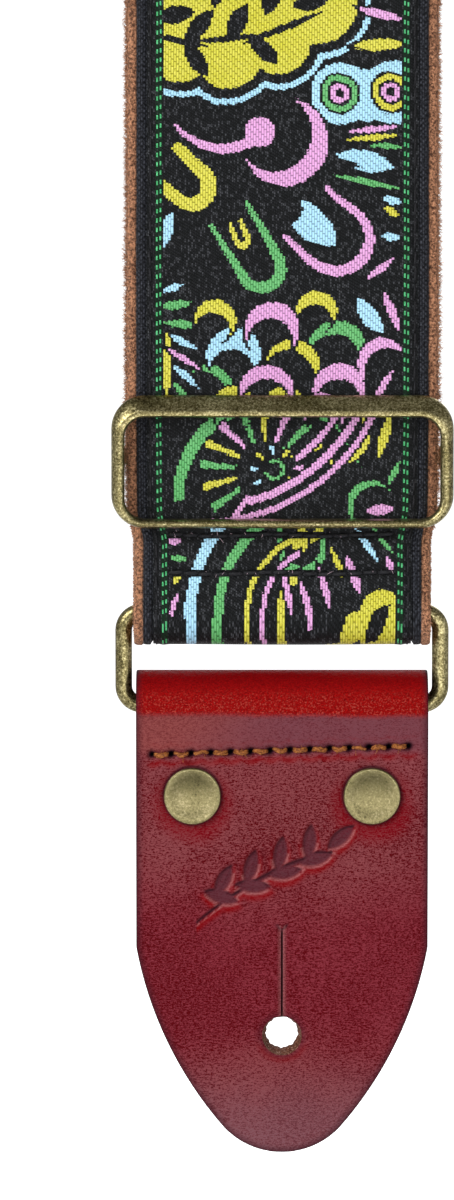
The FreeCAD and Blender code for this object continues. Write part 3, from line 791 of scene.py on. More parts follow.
# the last triple of each brass: painted shade on up-facing faces, from the facing where it starts to where it is full,
# and its strength
BRASS = brass_material("antique_brass", (0.060, 0.048, 0.016), (0.27, 0.225, 0.095), (0.80, 0.71, 0.38), 3.2, (0.05, 0.80, 0.15))
RIVET = brass_material("rivet_brass", (0.080, 0.068, 0.028), (0.28, 0.240, 0.110), (0.62, 0.53, 0.30), 1.9, (-0.12, 0.07, 0.58))


# ------------------------------------------------------------------ the strap's layers
def wobble(v, seed, size):
    """A slow, smooth, seeded unevenness along the strap."""
    out = 0.0
    r = random.Random(seed)
    for k in range(6):
        out = out + np.sin(v / (2.2 + 2.4 * k) + r.uniform(0, 6.3)) * (0.35 + 0.13 * k)
    return out * size / 2.4


def row_dip(x, v, rows, half, pitch=2.6):
    """Fabric pulled down along a cross row, deeper at each needle hole."""
    dip = 0.0
    inside = 1.0 / (1.0 + np.exp((np.abs(x) - half - 0.4) * 4))
    for row in rows:
        bend = row + 0.18 * np.sin(x * 0.33 + row)
        across = np.exp(-((v - bend) / 0.75) ** 2)
        holes = np.exp(-((np.mod(x + pitch / 2, pitch) - pitch / 2) / 0.42) ** 2)
        dip = dip - inside * across * (0.30 + 0.30 * holes)
        dip = dip + inside * 0.07 * np.exp(-((np.abs(v - bend) - 1.7) / 0.7) ** 2)
    return dip


def ribbon_relief(rows, half=19.8):
    def relief(x, v):
        ax = np.abs(x)
        out = -0.34 * np.exp(-((ax - SEAM_X) / 0.42) ** 2) * (1 - 0.75 * turned(v))
        out = out + 0.10 * np.exp(-((ax - SEAM_X + 1.3) / 0.5) ** 2)
        out = out - 0.30 * np.clip((ax - HALF_RIBBON + 0.45) / 0.45, 0, 1) ** 2 * (1 - 0.7 * turned(v))
        out = out + 0.05 * np.sin(v / 3.1) * np.exp(-((ax - 20.8) / 1.2) ** 2)
        out = out + 0.05 * np.sin(v / 9.0 + x / 7.0)
        return out + (row_dip(x, v, rows, half) if rows else 0.0)
    return relief


def turned(v):
    """One along the folds round the two sewn-in ring bars, where the layers crowd together."""
    return soft01((v - 52.0) / 3.0) * soft01((75.0 - v) / 3.0)


def webbing_relief(x, v):
    ax = np.abs(x)
    lip = np.clip((ax - HALF_WEBBING + 0.9) / 0.9, 0, 1)
    level = (0.42 + 0.30 * turned(v)) * soft01((ax - HALF_RIBBON) / 0.5)
    fold = turned(v)
    return level + 0.12 * np.exp(-((ax - 23.3) / 0.4) ** 2) * (1 - fold) - 0.55 * lip**3 * (1 - 0.8 * fold)


def suede_relief(x, v):
    """The suede swells up beside the webbing and rounds off at its cut edge."""
    ax = np.abs(x)
    swell = (0.95 + 1.05 * turned(v)) * soft01((ax - HALF_WEBBING * 0.985) / 0.5)
    rag = (0.10 * np.sin(v / 0.9 + 3 * np.sin(v / 5.1)) + 0.08 * np.sin(v / 2.3)) * (1 - turned(v))
    return swell * (1 + rag) - 0.75 * np.clip((ax - HALF_SUEDE + 0.7) / 0.7, 0, 1) ** 2 * (1 - 0.6 * turned(v))


def columns(half, step, extra=()):
    xs = set(np.round(np.linspace(-half, half, int(round(2 * half / step)) + 1), 3).tolist())
    for e in extra:
        xs |= {e, -e}
    return sorted(xs)


def fuzz(name, walk, per_mm, length, s_lo, s_hi, outer=SUEDE_T + 0.8):
    """Loose fibres along both cut edges of the suede."""
    b = Bundle()
    count = int((s_hi - s_lo) * per_mm)
    for side in (-1, 1):
        for _ in range(count):
            s = rng.uniform(s_lo, s_hi)
            h = rng.uniform(0.05, outer)
            v = s + walk.v_shift
            wide = float(walk.width(np.array([v]))[0])
            x = side * (HALF_SUEDE * wide - rng.choice((0.1, 0.2, 0.9, 1.5)) * rng.random())
            y, z = walk.at(s, h)
            rubbed_short = 1.0 - 0.6 * min(max((0.995 - wide) / 0.035, 0.0), 1.0)
            reach = length * (0.35 + rng.random() ** 1.6) * rubbed_short
            dx = side * reach * rng.uniform(0.55, 1.0)
            slant = rng.gauss(0.0, 0.55) * reach
            y1, z1 = walk.at(s + slant, h + rng.gauss(0.10, 0.35) * reach)
            bend = [0, 0, 0.18 * rng.gauss(0, 1) * reach]
            b.spike((x, float(y), float(z)), (x + dx, float(y1), float(z1)), rng.uniform(0.045, 0.085), bend)
    return b.finish(name, FUZZ)


def edge_stitches(b, walk, s_lo, s_hi, pitch=2.7):
    """Black lock stitches lying in the groove along both edges of the ribbon."""
    for side in (-1, 1):
        s = s_lo + 0.4
        while s + pitch < s_hi:
            t = np.linspace(0, 1, 6)
            h = FABRIC_T - 0.42 + 0.34 * np.sin(math.pi * t)
            run = s + t * (pitch - 0.35)
            x = side * (SEAM_X * walk.width(run + walk.v_shift) + 0.14 * (t - 0.5)) + rng.uniform(-0.05, 0.05)
            y, z = walk.at(run, h)
            b.tube(np.stack([x, y, z], -1), 0.2, 5, tag=rng.random())
            s += pitch


def cross_stitches(b, walk, v, half, lift, pitch=2.6, radius=0.33, thread_lift=0.34, sides=6):
    """One row of stitches across the strap at pattern coordinate v."""
    x = -half
    while x + pitch <= half + 0.01:
        t = np.linspace(0, 1, 7)
        bend = 0.18 * math.sin(x * 0.33 + v)
        h = lift - 0.50 + thread_lift * np.sin(math.pi * t)
        at_v = v + bend + 0.1 * (t - 0.5)
        y, z = walk.at(walk.s_at_v(at_v), h)
        across = (x + 0.15 + t * (pitch - 0.3)) * walk.width(at_v)
        b.tube(np.stack([across, y, z], -1), radius, sides, tag=rng.random())
        x += pitch


def pulled_fuzz(b, walk, v, half):
    """Pale filaments pulled up at some needle holes."""
    for _ in range(15):
        x = rng.uniform(-half, half)
        y, z = walk.at(walk.s_at_v(v + rng.gauss(0, 0.35)), FABRIC_T - 0.1)
        p = np.array([x, float(y), float(z)])
        q = p + [rng.gauss(0, 0.35), -rng.uniform(0.1, 0.4), rng.gauss(0, 0.4)]
        b.tube([p, (p + q) / 2 + [0, -0.15, 0.1], q], 0.035, 4)


def soft01(t):
    t = np.clip(t, 0, 1)
    return t * t * (3 - 2 * t)


def drawn_in(*folds, seed=5):
    """The strap's width as a share of its full width, drawn in wherever it turns inside a ring."""
    def width(v):
        k = 0.0
        for at, flat, run in folds:
            k = np.maximum(k, 1 - soft01((np.abs(v - at) - flat) / run))
        return 1.0 - 0.042 * k + wobble(v, seed, 0.004)
    return width


FRONT.width = drawn_in((FRONT.v_shift + 17.0, 20.5, 6.5), (LOOP_TOP, 3.0, 14.0))
BACK.width = drawn_in((LOOP_TOP, 13.0, 14.0))
MAIN.width = drawn_in((MAIN.v_shift + 19.0, 14.0, 14.0), (MAIN.v_shift + LOW_FOLD_S, 34.0, 20.0))


def layers(prefix, walk, rows, per_mm, x_step, body_a, body_b=None, span=None):
    """The ribbon, webbing, suede and fibres of one length of strap; they move with body_a when there is no body_b, and
    otherwise stay where they are made.
    """
    made = {
        "ribbon": strip(prefix + "_ribbon_woven", walk, columns(HALF_RIBBON, x_step, (SEAM_X,)),
                        SUEDE_T + WEBBING_T, FABRIC_T, RIBBON, ribbon_relief(rows), rows),
        "webbing": strip(prefix + "_webbing_woven", walk, columns(HALF_WEBBING, 1.2, (23.2, 23.6, 23.9, 22.6)),
                         SUEDE_T, SUEDE_T + WEBBING_T, WEBBING, webbing_relief),
        "suede": strip(prefix + "_suede_napped", walk, columns(HALF_SUEDE, 1.6, (24.1, 24.5, 24.9, 25.3, 25.6, 25.75)),
                       0.0, SUEDE_T, SUEDE, suede_relief),
        "fibres": fuzz(prefix + "_suede_fibres", walk, per_mm, 0.95, walk.t[0, 0], walk.t[-1, 0]),
    }
    for key, ob in made.items():
        attach(ob, body_a, body_b, span)
    for key in ("ribbon", "webbing", "suede"):
        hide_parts(f"{prefix}_{key}")


def attach(ob, body_a, body_b=None, span=None):
    if body_b is None:
        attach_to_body(ob, body_a)
    else:
        span[0] * MM
        span[1] * MM
        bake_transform(ob)
    return ob


def sewn(name, bundle, material, slot, nodes, body_a, body_b=None, span=None):
    ob = attach(bundle.finish(name, material), body_a, body_b, span)
    if nodes:
        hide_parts(*nodes)
    return ob


FRONT_SPAN = (box("slider_frame")[1][2] + 5.0, LOOP_TOP - 4.0)
BACK_SPAN = (SLIDER_TAIL_Z + 1.5, LOOP_TOP - 4.0)

layers("loop_front", FRONT, LOOP_ROWS, 34, 0.6, "lower_strap", "loop", FRONT_SPAN)
layers("loop_back", BACK, [], 11, 1.5, "slider", "loop", BACK_SPAN)
layers("main", MAIN, [], 9, 1.5, "main_strap")

for prefix, walk, parts in (
    ("loop_front", FRONT, ("lower_strap", "loop", FRONT_SPAN)),
    ("loop_back", BACK, ("slider", "loop", BACK_SPAN)),
    ("main", MAIN, ("main_strap",)),
):
    b = Bundle()
    end = walk.t[-1, 0] if prefix != "main" else walk.t[-1, 0] - (UPPER_TAB_HIGH[2] - MAIN_END) - 1
    edge_stitches(b, walk, 0.0, end)
    sewn(prefix + "_edge_stitches", b, BLACK_THREAD, "black_thread", [prefix + "_edge_seams"], *parts)

tail_v = lambda walk, z, z0: z0 - z + walk.v_shift
b = Bundle()
for z in LOOP_ROWS:
    cross_stitches(b, FRONT, z, 19.8, FABRIC_T)
    cross_stitches(b, FRONT, tail_v(FRONT, z, TAIL_Z), 19.8, FABRIC_T + 0.2)
pale = Bundle()
for z in LOOP_ROWS:
    pulled_fuzz(pale, FRONT, z, 19.0)
sewn("loop_ring_seam_stitches", b, BLACK_THREAD, "black_thread", ["loop_ring_seam"], "lower_strap")
PALE = thread_material("pulled_filaments", (0.45, 0.30, 0.40), (0.75, 0.60, 0.62), 0.6)
sewn("loop_ring_seam_filaments", pale, PALE, "patterned_ribbon", [], "lower_strap")

b = Bundle()
for z in SLIDER_ROWS:
    run = LOOP_TOP - z + math.pi * (BACK_SKIN - LOOP_SKIN) / 2
    cross_stitches(b, BACK, run + BACK.v_shift, 19.8, FABRIC_T + 0.2)
    cross_stitches(b, BACK, BACK.t[-1, 0] - (SLIDER_TAIL_Z - z) + BACK.v_shift, 19.8, FABRIC_T + 0.2)
sewn("loop_slider_seam_stitches", b, BLACK_THREAD, "black_thread", ["loop_slider_seam"], "slider")

b = Bundle()
for z in MAIN_ROWS:
    tail = MAIN_BAR[2] + MAIN_TAIL
    cross_stitches(b, MAIN, tail_v(MAIN, z, tail), 19.8, FABRIC_T + 0.2)
    angle = level_angle(BAR_FOLD_R, LEVEL_R)
    rise = (LEVEL_R + BAR_FOLD_R) * math.sin(math.radians(angle))
    fold = MAIN_TAIL - rise + (LEVEL_R * angle + BAR_FOLD_R * (180 + angle)) * math.pi / 180
    cross_stitches(b, MAIN, fold + z - MAIN_BAR[2] + MAIN.v_shift, 19.8, FABRIC_T + 0.2)
sewn("main_ring_seam_stitches", b, BLACK_THREAD, "black_thread", ["main_ring_seam"], "main_strap")


# ------------------------------------------------------------------ leather tabs
LEATHER_T = 3.2
TAB_HALF = box("lower_tab_leather")[1][0]
TAB_FACE_Y = box("lower_tab_leather")[0][1]
ROW_Z = (box("lower_tab_thread")[0][2] + box("lower_tab_thread")[1][2]) / 2
CAPS = box("lower_tab_rivet_caps")
CAP_R = (CAPS[1][2] - CAPS[0][2]) / 2
RIVET_X = CAPS[1][0] - CAP_R
RIVET_Z = (CAPS[0][2] + CAPS[1][2]) / 2
HOLE_R = frame["record"]["mounts"][0]["dims"]["r_mm"]
STITCH_HALF = box("lower_tab_thread")[1][0] - 0.5


def circle_through(a, b, c):
    """Centre and radius of the circle through three points."""
    rows = np.array([[b[0] - a[0], b[1] - a[1]], [c[0] - a[0], c[1] - a[1]]])
    squares = [(p[0] ** 2 + p[1] ** 2 - a[0] ** 2 - a[1] ** 2) / 2 for p in (b, c)]
    cx, cz = np.linalg.solve(rows, squares)
    return cx, cz, math.hypot(a[0] - cx, a[1] - cz)


def tab_edge(x, z, half, tip):
    """How far a point is inside the tab's outline: straight sides, two bowed flanks, a round tip."""
    shoulder, flank, corner = 15.0, (18.9, -1.7), (10.2, -15.0)
    fx, fz, fr = circle_through((half, shoulder), flank, corner)
    tx, tz, tr = circle_through(corner, (0.0, tip), (-corner[0], corner[1]))
    bowed = fr - np.hypot(np.abs(x) - fx, z - fz)
    point = tr - np.hypot(x - tx, z - tz)
    below = np.where(z < corner[1], np.minimum(bowed, point), bowed)
    return np.where(z > shoulder, half - np.abs(x), below)


def remeshed(node, name, voxel, smooth):
    source = frame["nodes"][node]
    ob = bpy.data.objects.new(name, source.data.copy())
    bpy.context.scene.collection.objects.link(ob)
    m = ob.modifiers.new("solid", "REMESH")
    m.mode, m.voxel_size = "VOXEL", voxel * MM
    k = ob.modifiers.new("even", "SMOOTH")
    k.iterations, k.factor = smooth, 0.5
    mesh = bpy.data.meshes.new_from_object(ob.evaluated_get(bpy.context.evaluated_depsgraph_get()))
    bpy.data.objects.remove(ob)
    out = bpy.data.objects.new(name, mesh)
    bpy.context.scene.collection.objects.link(out)
    mesh.materials.clear()
    mesh.polygons.foreach_set("use_smooth", [True] * len(mesh.polygons))
    return out


SPRIG = [(-9.8, -2.9, 62), (-10.2, -5.6, -18), (-5.2, -0.6, 74), (-4.9, -3.8, -4), (-0.3, 1.6, 80),
         (0.4, -1.5, 8), (4.6, 3.6, 84), (5.6, 0.8, 16), (9.8, 4.4, 42)]


def sprig(x, z):
    """Signed distance to a plain sprig of lens-shaped leaves on a bowed stem, and to its veins."""
    long, wide = 3.0, 1.15
    r = (long**2 + wide**2) / (2 * wide)
    d, vein = np.full(len(x), 99.0), np.full(len(x), 99.0)
    for cx, cz, degrees in SPRIG:
        c, n = math.cos(math.radians(degrees)), math.sin(math.radians(degrees))
        px, pz = (x - cx) * c + (z - cz) * n, -(x - cx) * n + (z - cz) * c
        d = np.minimum(d, np.maximum(np.hypot(px, pz - r + wide), np.hypot(px, pz + r - wide)) - r)
        vein = np.minimum(vein, np.where(np.abs(px) < long * 0.72, np.abs(pz), 99.0))
    stem_z = 0.44 * x - 0.9 - 0.014 * x**2
    stem = np.abs(z - stem_z) - (0.50 - 0.020 * np.abs(x))
    return np.minimum(d, np.where((x > -14.2) & (x < 8.4), stem, 99.0)), vein


def tab_relief(co, normal, out, face_y, z0, rows, rivet_z, mark_z, stitch_half):
    """Pushes the leather's surface in at the stitches, rivets, mark and edges; returns masks."""
    x, y, z = co[:, 0], co[:, 1], co[:, 2] - z0
    facing = np.clip(normal[:, 1] * out, 0, 1) ** 2 * (np.abs(y - face_y) < 6.5)
    pitch = 3.3
    depth = np.zeros(len(x))
    holes_mask = np.zeros(len(x))
    creased = np.zeros(len(x))
    inside = 1.0 / (1.0 + np.exp((np.abs(x) - stitch_half - 0.6) * 4))
    for row in rows:
        line = row + 0.35 * np.sin(x * 0.05) + 0.018 * x
        along = np.mod(x + stitch_half + pitch / 2, pitch) - pitch / 2
        hole = np.exp(-((along / 0.72) ** 2 + ((z - line) / 0.66) ** 2))
        depth -= inside * (0.30 * np.exp(-(((z - line) / 0.62) ** 2)) + 1.05 * hole)
        pucker = 0.5 + 0.5 * np.cos(along * 2 * math.pi / pitch + math.pi)
        depth += inside * 0.16 * pucker * np.exp(-(((np.abs(z - line) - 1.45) / 0.5) ** 2))
        # the creases beside the stitch row; their colour is painted shade
        scallop = line - 1.20 - 0.50 * np.abs(np.cos(along * math.pi / pitch))
        crease = inside * np.exp(-(((z - scallop) / 0.50) ** 2))
        above = inside * np.exp(-(((z - 2 * line + scallop) / 0.30) ** 2))
        depth -= 0.30 * crease + 0.14 * above
        uneven = 0.72 + 0.28 * np.sin(x * 1.7) * np.sin(x * 0.53 + 1.0)
        creased = np.maximum(creased, np.maximum(crease * uneven, 0.6 * above * uneven))
        holes_mask = np.maximum(holes_mask, inside * hole)
    r = np.minimum(np.hypot(x - RIVET_X, z - rivet_z), np.hypot(x + RIVET_X, z - rivet_z))
    depth -= 0.30 * np.exp(-(((r - CAP_R) / 0.9) ** 2))
    wear_and_shade = np.zeros(len(x))
    mark, shine, brink = np.zeros(len(x)), np.zeros(len(x)), np.zeros(len(x))
    if mark_z is not None:
        d, vein = sprig(x, z - mark_z)
        mark = soft01((0.22 - d) / 0.5)
        depth -= mark * (0.62 - 0.20 * np.exp(-((vein / 0.28) ** 2)))
        depth += 0.15 * np.exp(-(((d - 0.62) / 0.36) ** 2))
        below, _ = sprig(x, z - mark_z + 0.9)
        wear_and_shade = np.exp(-((np.maximum(below, 0) / 0.55) ** 2)) * (1 - mark) * 0.75 * facing
        shine = 0.8 * np.exp(-(((d - 0.20) / 0.18) ** 2)) * (below < d) * facing
        # painted shade along the upper edges inside the mark
        over, _ = sprig(x, z - mark_z + 0.42)
        brink = mark * soft01((over + 0.15) / 0.35)
    hole_r = np.hypot(x, z)
    depth -= 0.22 * np.exp(-(((hole_r - HOLE_R) / 0.7) ** 2))
    slit = (z > 0) & (z < 18.5)
    depth -= 0.16 * np.exp(-((x / 0.7) ** 2)) * slit
    fork = np.exp(-(((np.abs(x) - 0.7 * (z - 17.6)) / 0.32) ** 2)) * (z > 17.5) * (z < 18.9)
    depth -= 0.40 * fork
    shine = np.maximum(shine, 0.6 * facing * slit * (z > HOLE_R) * np.exp(-(((np.abs(x) - 0.44) / 0.15) ** 2)))
    rubbed = 0.5 * np.exp(-(((hole_r - HOLE_R - 0.7) / 0.55) ** 2)) * soft01((-z - 0.6) / 2.0) * facing
    wear_and_shade = np.maximum(wear_and_shade, rubbed)
    depth += 0.05 * np.sin(x / 6.1 + 0.8) * np.sin(z / 7.7)
    co[:, 1] += out * depth * facing
    raw = np.clip((np.abs(hole_r - HOLE_R) < 0.75) * (1.0 - facing * 2), 0, 1)
    # the punched hole tapers towards the back, and the slit's walls lean together inside
    inward = np.clip(-out * (y - face_y) / LEATHER_T, 0, 1)
    torn = 1.0 + 0.10 * np.sin(9 * np.arctan2(z, x)) + 0.09 * np.sin(17 * np.arctan2(z, x) + 1.0)
    pull = 0.62 * torn * soft01(inward * 1.3) * np.exp(-((np.maximum(hole_r - HOLE_R, 0) / 0.9) ** 2)) * (hole_r < 6)
    co[:, 0] -= pull * x / np.maximum(hole_r, 0.1)
    co[:, 2] -= pull * z / np.maximum(hole_r, 0.1)
    co[:, 2] += 0.30 * soft01(inward) * np.exp(-((np.maximum(hole_r - HOLE_R, 0) / 0.9) ** 2)) * (hole_r < 6)
    close = np.exp(-(((inward - 0.5) / 0.24) ** 2)) * (np.abs(x) < 0.62) * (z > HOLE_R * 0.9) * (z < 18.2)
    co[:, 0] *= 1 - np.minimum(1.25 * close, 1.0)
    co[:, 0] *= 1 - 0.5 * (np.abs(x) < 0.45) * (z > HOLE_R * 0.9) * (z < 18.0)
    # painted shade: dark in the needle holes, along the mark's upper inner edges, in the fork at the slit's top, round
    # the rivet caps and in the stitch creases; also the darker patch below the hole
    dark = np.maximum(holes_mask, np.maximum(0.55 * brink, 0.5 * fork) * facing)
    under_cap = np.exp(-(((r - CAP_R - 0.10) / 0.30) ** 2)) * facing
    dark = np.maximum(dark, np.maximum(0.52 * under_cap, 0.50 * rubbed))
    dark = np.maximum(dark, 0.27 * creased * facing)
    # wear_and_shade joins the band below the mark and the rubbed patch below the hole with the painted crease shade
    return facing, np.maximum(wear_and_shade, creased * facing), raw, dark, shine, mark * facing


def leather_tab(node, name, out, face_y, z0, rows, rivet_z, mark_z, material, body, seam_y=None):
    ob = remeshed(node, name, 0.255, 3)
    mesh = ob.data
    n = len(mesh.vertices)
    co = np.zeros(n * 3, np.float32)
    mesh.vertices.foreach_get("co", co)
    no = np.zeros(n * 3, np.float32)
    mesh.vertices.foreach_get("normal", no)
    co = co.reshape(-1, 3).astype(float) / MM
    no = no.reshape(-1, 3).astype(float)
    half, tip = TAB_HALF, box(node)[0][2] - z0
    facing, wear_and_shade, raw, holes, shine, pressed = tab_relief(
        co, no, out, face_y, z0, rows, rivet_z, mark_z, STITCH_HALF)
    inset = tab_edge(co[:, 0], co[:, 2] - z0, half, tip)
    if seam_y is not None:
        groove = np.exp(-(((co[:, 1] - seam_y) / 0.28) ** 2)) * (np.abs(co[:, 0]) > half - 0.6) * (co[:, 2] > 30)
        groove *= co[:, 2] < 50.5
        co[:, 0] -= np.sign(co[:, 0]) * 0.35 * groove
    edge = np.clip(1.0 - inset / 1.5, 0, 1) ** 1.6 * 0.85
    edge = np.maximum(edge, np.clip(1 - facing * 1.2, 0, 1) * (np.abs(no[:, 1]) < 0.8) * (inset < 0.4))
    # the slit's dark gap is painted shade; the edge mask also takes the painted shade from holes, mark edges, fork,
    # rivet caps and creases besides the tab's own dark cut edges
    slit = (np.abs(co[:, 0]) < 0.16) & (co[:, 2] - z0 > 2.5) & (co[:, 2] - z0 < 18.2)
    edge = np.maximum(edge, slit * 0.85)
    edge = np.maximum(edge, np.clip(holes * 2.2 - 0.35, 0, 1.6))
    edge = np.maximum(edge, 0.40 * np.exp(-(((np.hypot(co[:, 0], co[:, 2] - z0) - HOLE_R) / 0.8) ** 2)))
    mesh.vertices.foreach_set("co", (co * MM).astype(np.float32).ravel())
    masks = {"edge": edge * (1 - raw), "wear_and_shade": wear_and_shade, "raw": raw, "shine": shine, "pressed": pressed}
    for key, values in masks.items():
        mesh.attributes.new(key, "FLOAT", "POINT").data.foreach_set("value", values.astype(np.float32))
    mesh.update()
    mesh.materials.append(material)
    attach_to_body(ob, body)
    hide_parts(node)
    return ob


def tab_stitches(name, faces, rows, nodes, body):
    """Waxed thread, one stitch between each two needle holes, on each (y, outward) face."""
    b = Bundle()
    pitch = 3.3
    for row, (y, outward) in [(r, f) for r in rows for f in faces]:
        x = -STITCH_HALF
        while x + pitch <= STITCH_HALF + 0.2:
            t = np.linspace(0, 1, 15)
            line = row + 0.35 * math.sin(x * 0.05) + 0.018 * (x + pitch / 2)
            p = np.stack([
                x + 0.60 + t * (pitch - 1.20),
                y + outward * (-0.60 + 0.72 * np.sin(math.pi * t) ** 0.6),
                line + 0.10 * np.sin(2 * math.pi * t + rng.uniform(0, 6)) + rng.uniform(-0.1, 0.1) + 0 * t,
            ], -1)
            for strand in range(4):
                turn = rng.uniform(0, 6.3) + strand * 1.57 + t * 4.4
                q = p + 0.19 * np.stack([0 * t, np.sin(turn), np.cos(turn)], -1) + [rng.uniform(-0.12, 0.12), 0, 0]
                b.tube(q, 0.25 * (0.85 + 0.2 * np.sin(math.pi * t)), 7, tag=rng.random())
            for _ in range(5):
                k = rng.randrange(3, 12)
                off = np.array([rng.gauss(0, 0.35), outward * rng.uniform(0.05, 0.25), rng.gauss(0, 0.45)])
                b.tube([p[k], p[k] + 0.6 * off + [0, outward * 0.2, 0], p[k] + off], 0.04, 4, tag=rng.random())
            x += pitch
    return sewn(name, b, BROWN_THREAD, "brown_thread", nodes, body)


FLAP_Y = CAPS[1][1]
LOWER_LEATHER = leather_material("red_leather", [(-RIVET_X, RIVET_Z), (RIVET_X, RIVET_Z)], 53.6, 10.0)
leather_tab("lower_tab_leather", "lower_tab_hide", -1, TAB_FACE_Y, 0.0, [ROW_Z], RIVET_Z, 29.2,
            LOWER_LEATHER, "lower_tab", seam_y=-TAB_FACE_Y + TOUCH / 2)
tab_stitches("lower_tab_stitches", [(TAB_FACE_Y, -1), (FLAP_Y, 1)], [ROW_Z], ["lower_tab_thread"], "lower_tab")

UP_ZERO = frame["record"]["mounts"][1]["pos_m"][2] / MM
UP_FACE = UPPER_TAB_HIGH[1]
UP_CAPS = box("upper_tab_rivet_caps")
UP_RIVET_Z = (UP_CAPS[0][2] + UP_CAPS[1][2]) / 2
UP_THREAD = box("upper_tab_thread")
UP_ROWS = [UP_THREAD[0][2] + 0.5, UP_THREAD[1][2] - 0.5]
UPPER_LEATHER = leather_material("red_leather_upper", [(-RIVET_X, UP_RIVET_Z), (RIVET_X, UP_RIVET_Z)], None, UP_ZERO + 10.0)
leather_tab("upper_tab_leather", "upper_tab_hide", 1, UP_FACE, UP_ZERO, [r - UP_ZERO for r in UP_ROWS],
            UP_RIVET_Z - UP_ZERO, None, UPPER_LEATHER, "main_strap")
tab_stitches("upper_tab_stitches", [(UP_FACE, 1), (UP_THREAD[0][1] + 0.3, -1)], UP_ROWS, ["upper_tab_thread"], "main_strap")


def rivet_piece(node, name, y, outward, z, body, dome):
    b = Bundle()
    r, h = CAP_R, 1.2
    profile = [(r * 0.98, 0.0), (r, 0.2), (r, 0.56), (r - 0.03, 0.68), (r - 0.11, 0.75), (r - 0.22, 0.775), (r - 0.33, 0.765),
               (r - 0.42, 0.755), (r * 0.7, 0.755 + 0.5 * dome * (h - 0.76)), (r * 0.4, 0.755 + 0.85 * dome * (h - 0.76)), (0, 0.76 + dome * (h - 0.76))]
    for side in (-1, 1):
        lathe(b, side * RIVET_X, y, z, outward, profile)
        b.tube([(side * RIVET_X, y, z), (side * RIVET_X, y - outward * 2.0, z)], 1.5, 20)
    ob = b.finish(name, RIVET)
    sharp_at(ob, 40)
    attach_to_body(ob, body)
    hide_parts(node)


BACK_CAPS = box("lower_tab_rivet_backs")
UP_BACKS = box("upper_tab_rivet_backs")
rivet_piece("lower_tab_rivet_caps", "lower_tab_rivets", TAB_FACE_Y, -1, RIVET_Z, "lower_tab", 1.0)
rivet_piece("lower_tab_rivet_backs", "lower_tab_rivet_washers", BACK_CAPS[0][1], 1, RIVET_Z, "lower_tab", 0.5)
rivet_piece("upper_tab_rivet_caps", "upper_tab_rivets", UP_FACE, 1, UP_RIVET_Z, "main_strap", 1.0)
rivet_piece("upper_tab_rivet_backs", "upper_tab_rivet_washers", UP_BACKS[1][1], -1, UP_RIVET_Z, "main_strap", 0.5)

# ------------------------------------------------------------------ metal
for node in ("lower_ring", "upper_ring", "slider_centre_bar"):
    frame["nodes"][node].data.materials.clear()
    frame["nodes"][node].data.materials.append(BRASS)


def rounded_loop(half_x, z0, z1, r, n_corner=14, n_long=24, n_short=6):
    """Points of a rounded rectangle in x and z, anticlockwise from the right side's foot."""
    pts = []
    corners = [(half_x - r, z1 - r, 0), (-half_x + r, z1 - r, 90), (-half_x + r, z0 + r, 180), (half_x - r, z0 + r, 270)]
    for k, (cx, cz, a0) in enumerate(corners):
        for i in range(n_corner + 1):
            a = math.radians(a0 + 90.0 * i / n_corner)
            pts.append((cx + r * math.cos(a), cz + r * math.sin(a)))
        nx, nz, na = corners[(k + 1) % 4]
        a = math.radians(na)
        end = (nx + r * math.cos(a), nz + r * math.sin(a))
        n = n_long if k % 2 == 0 else n_short
        start = pts[-1]
        pts += [(start[0] + (end[0] - start[0]) * i / n, start[1] + (end[1] - start[1]) * i / n) for i in range(1, n)]
    return np.array(pts)


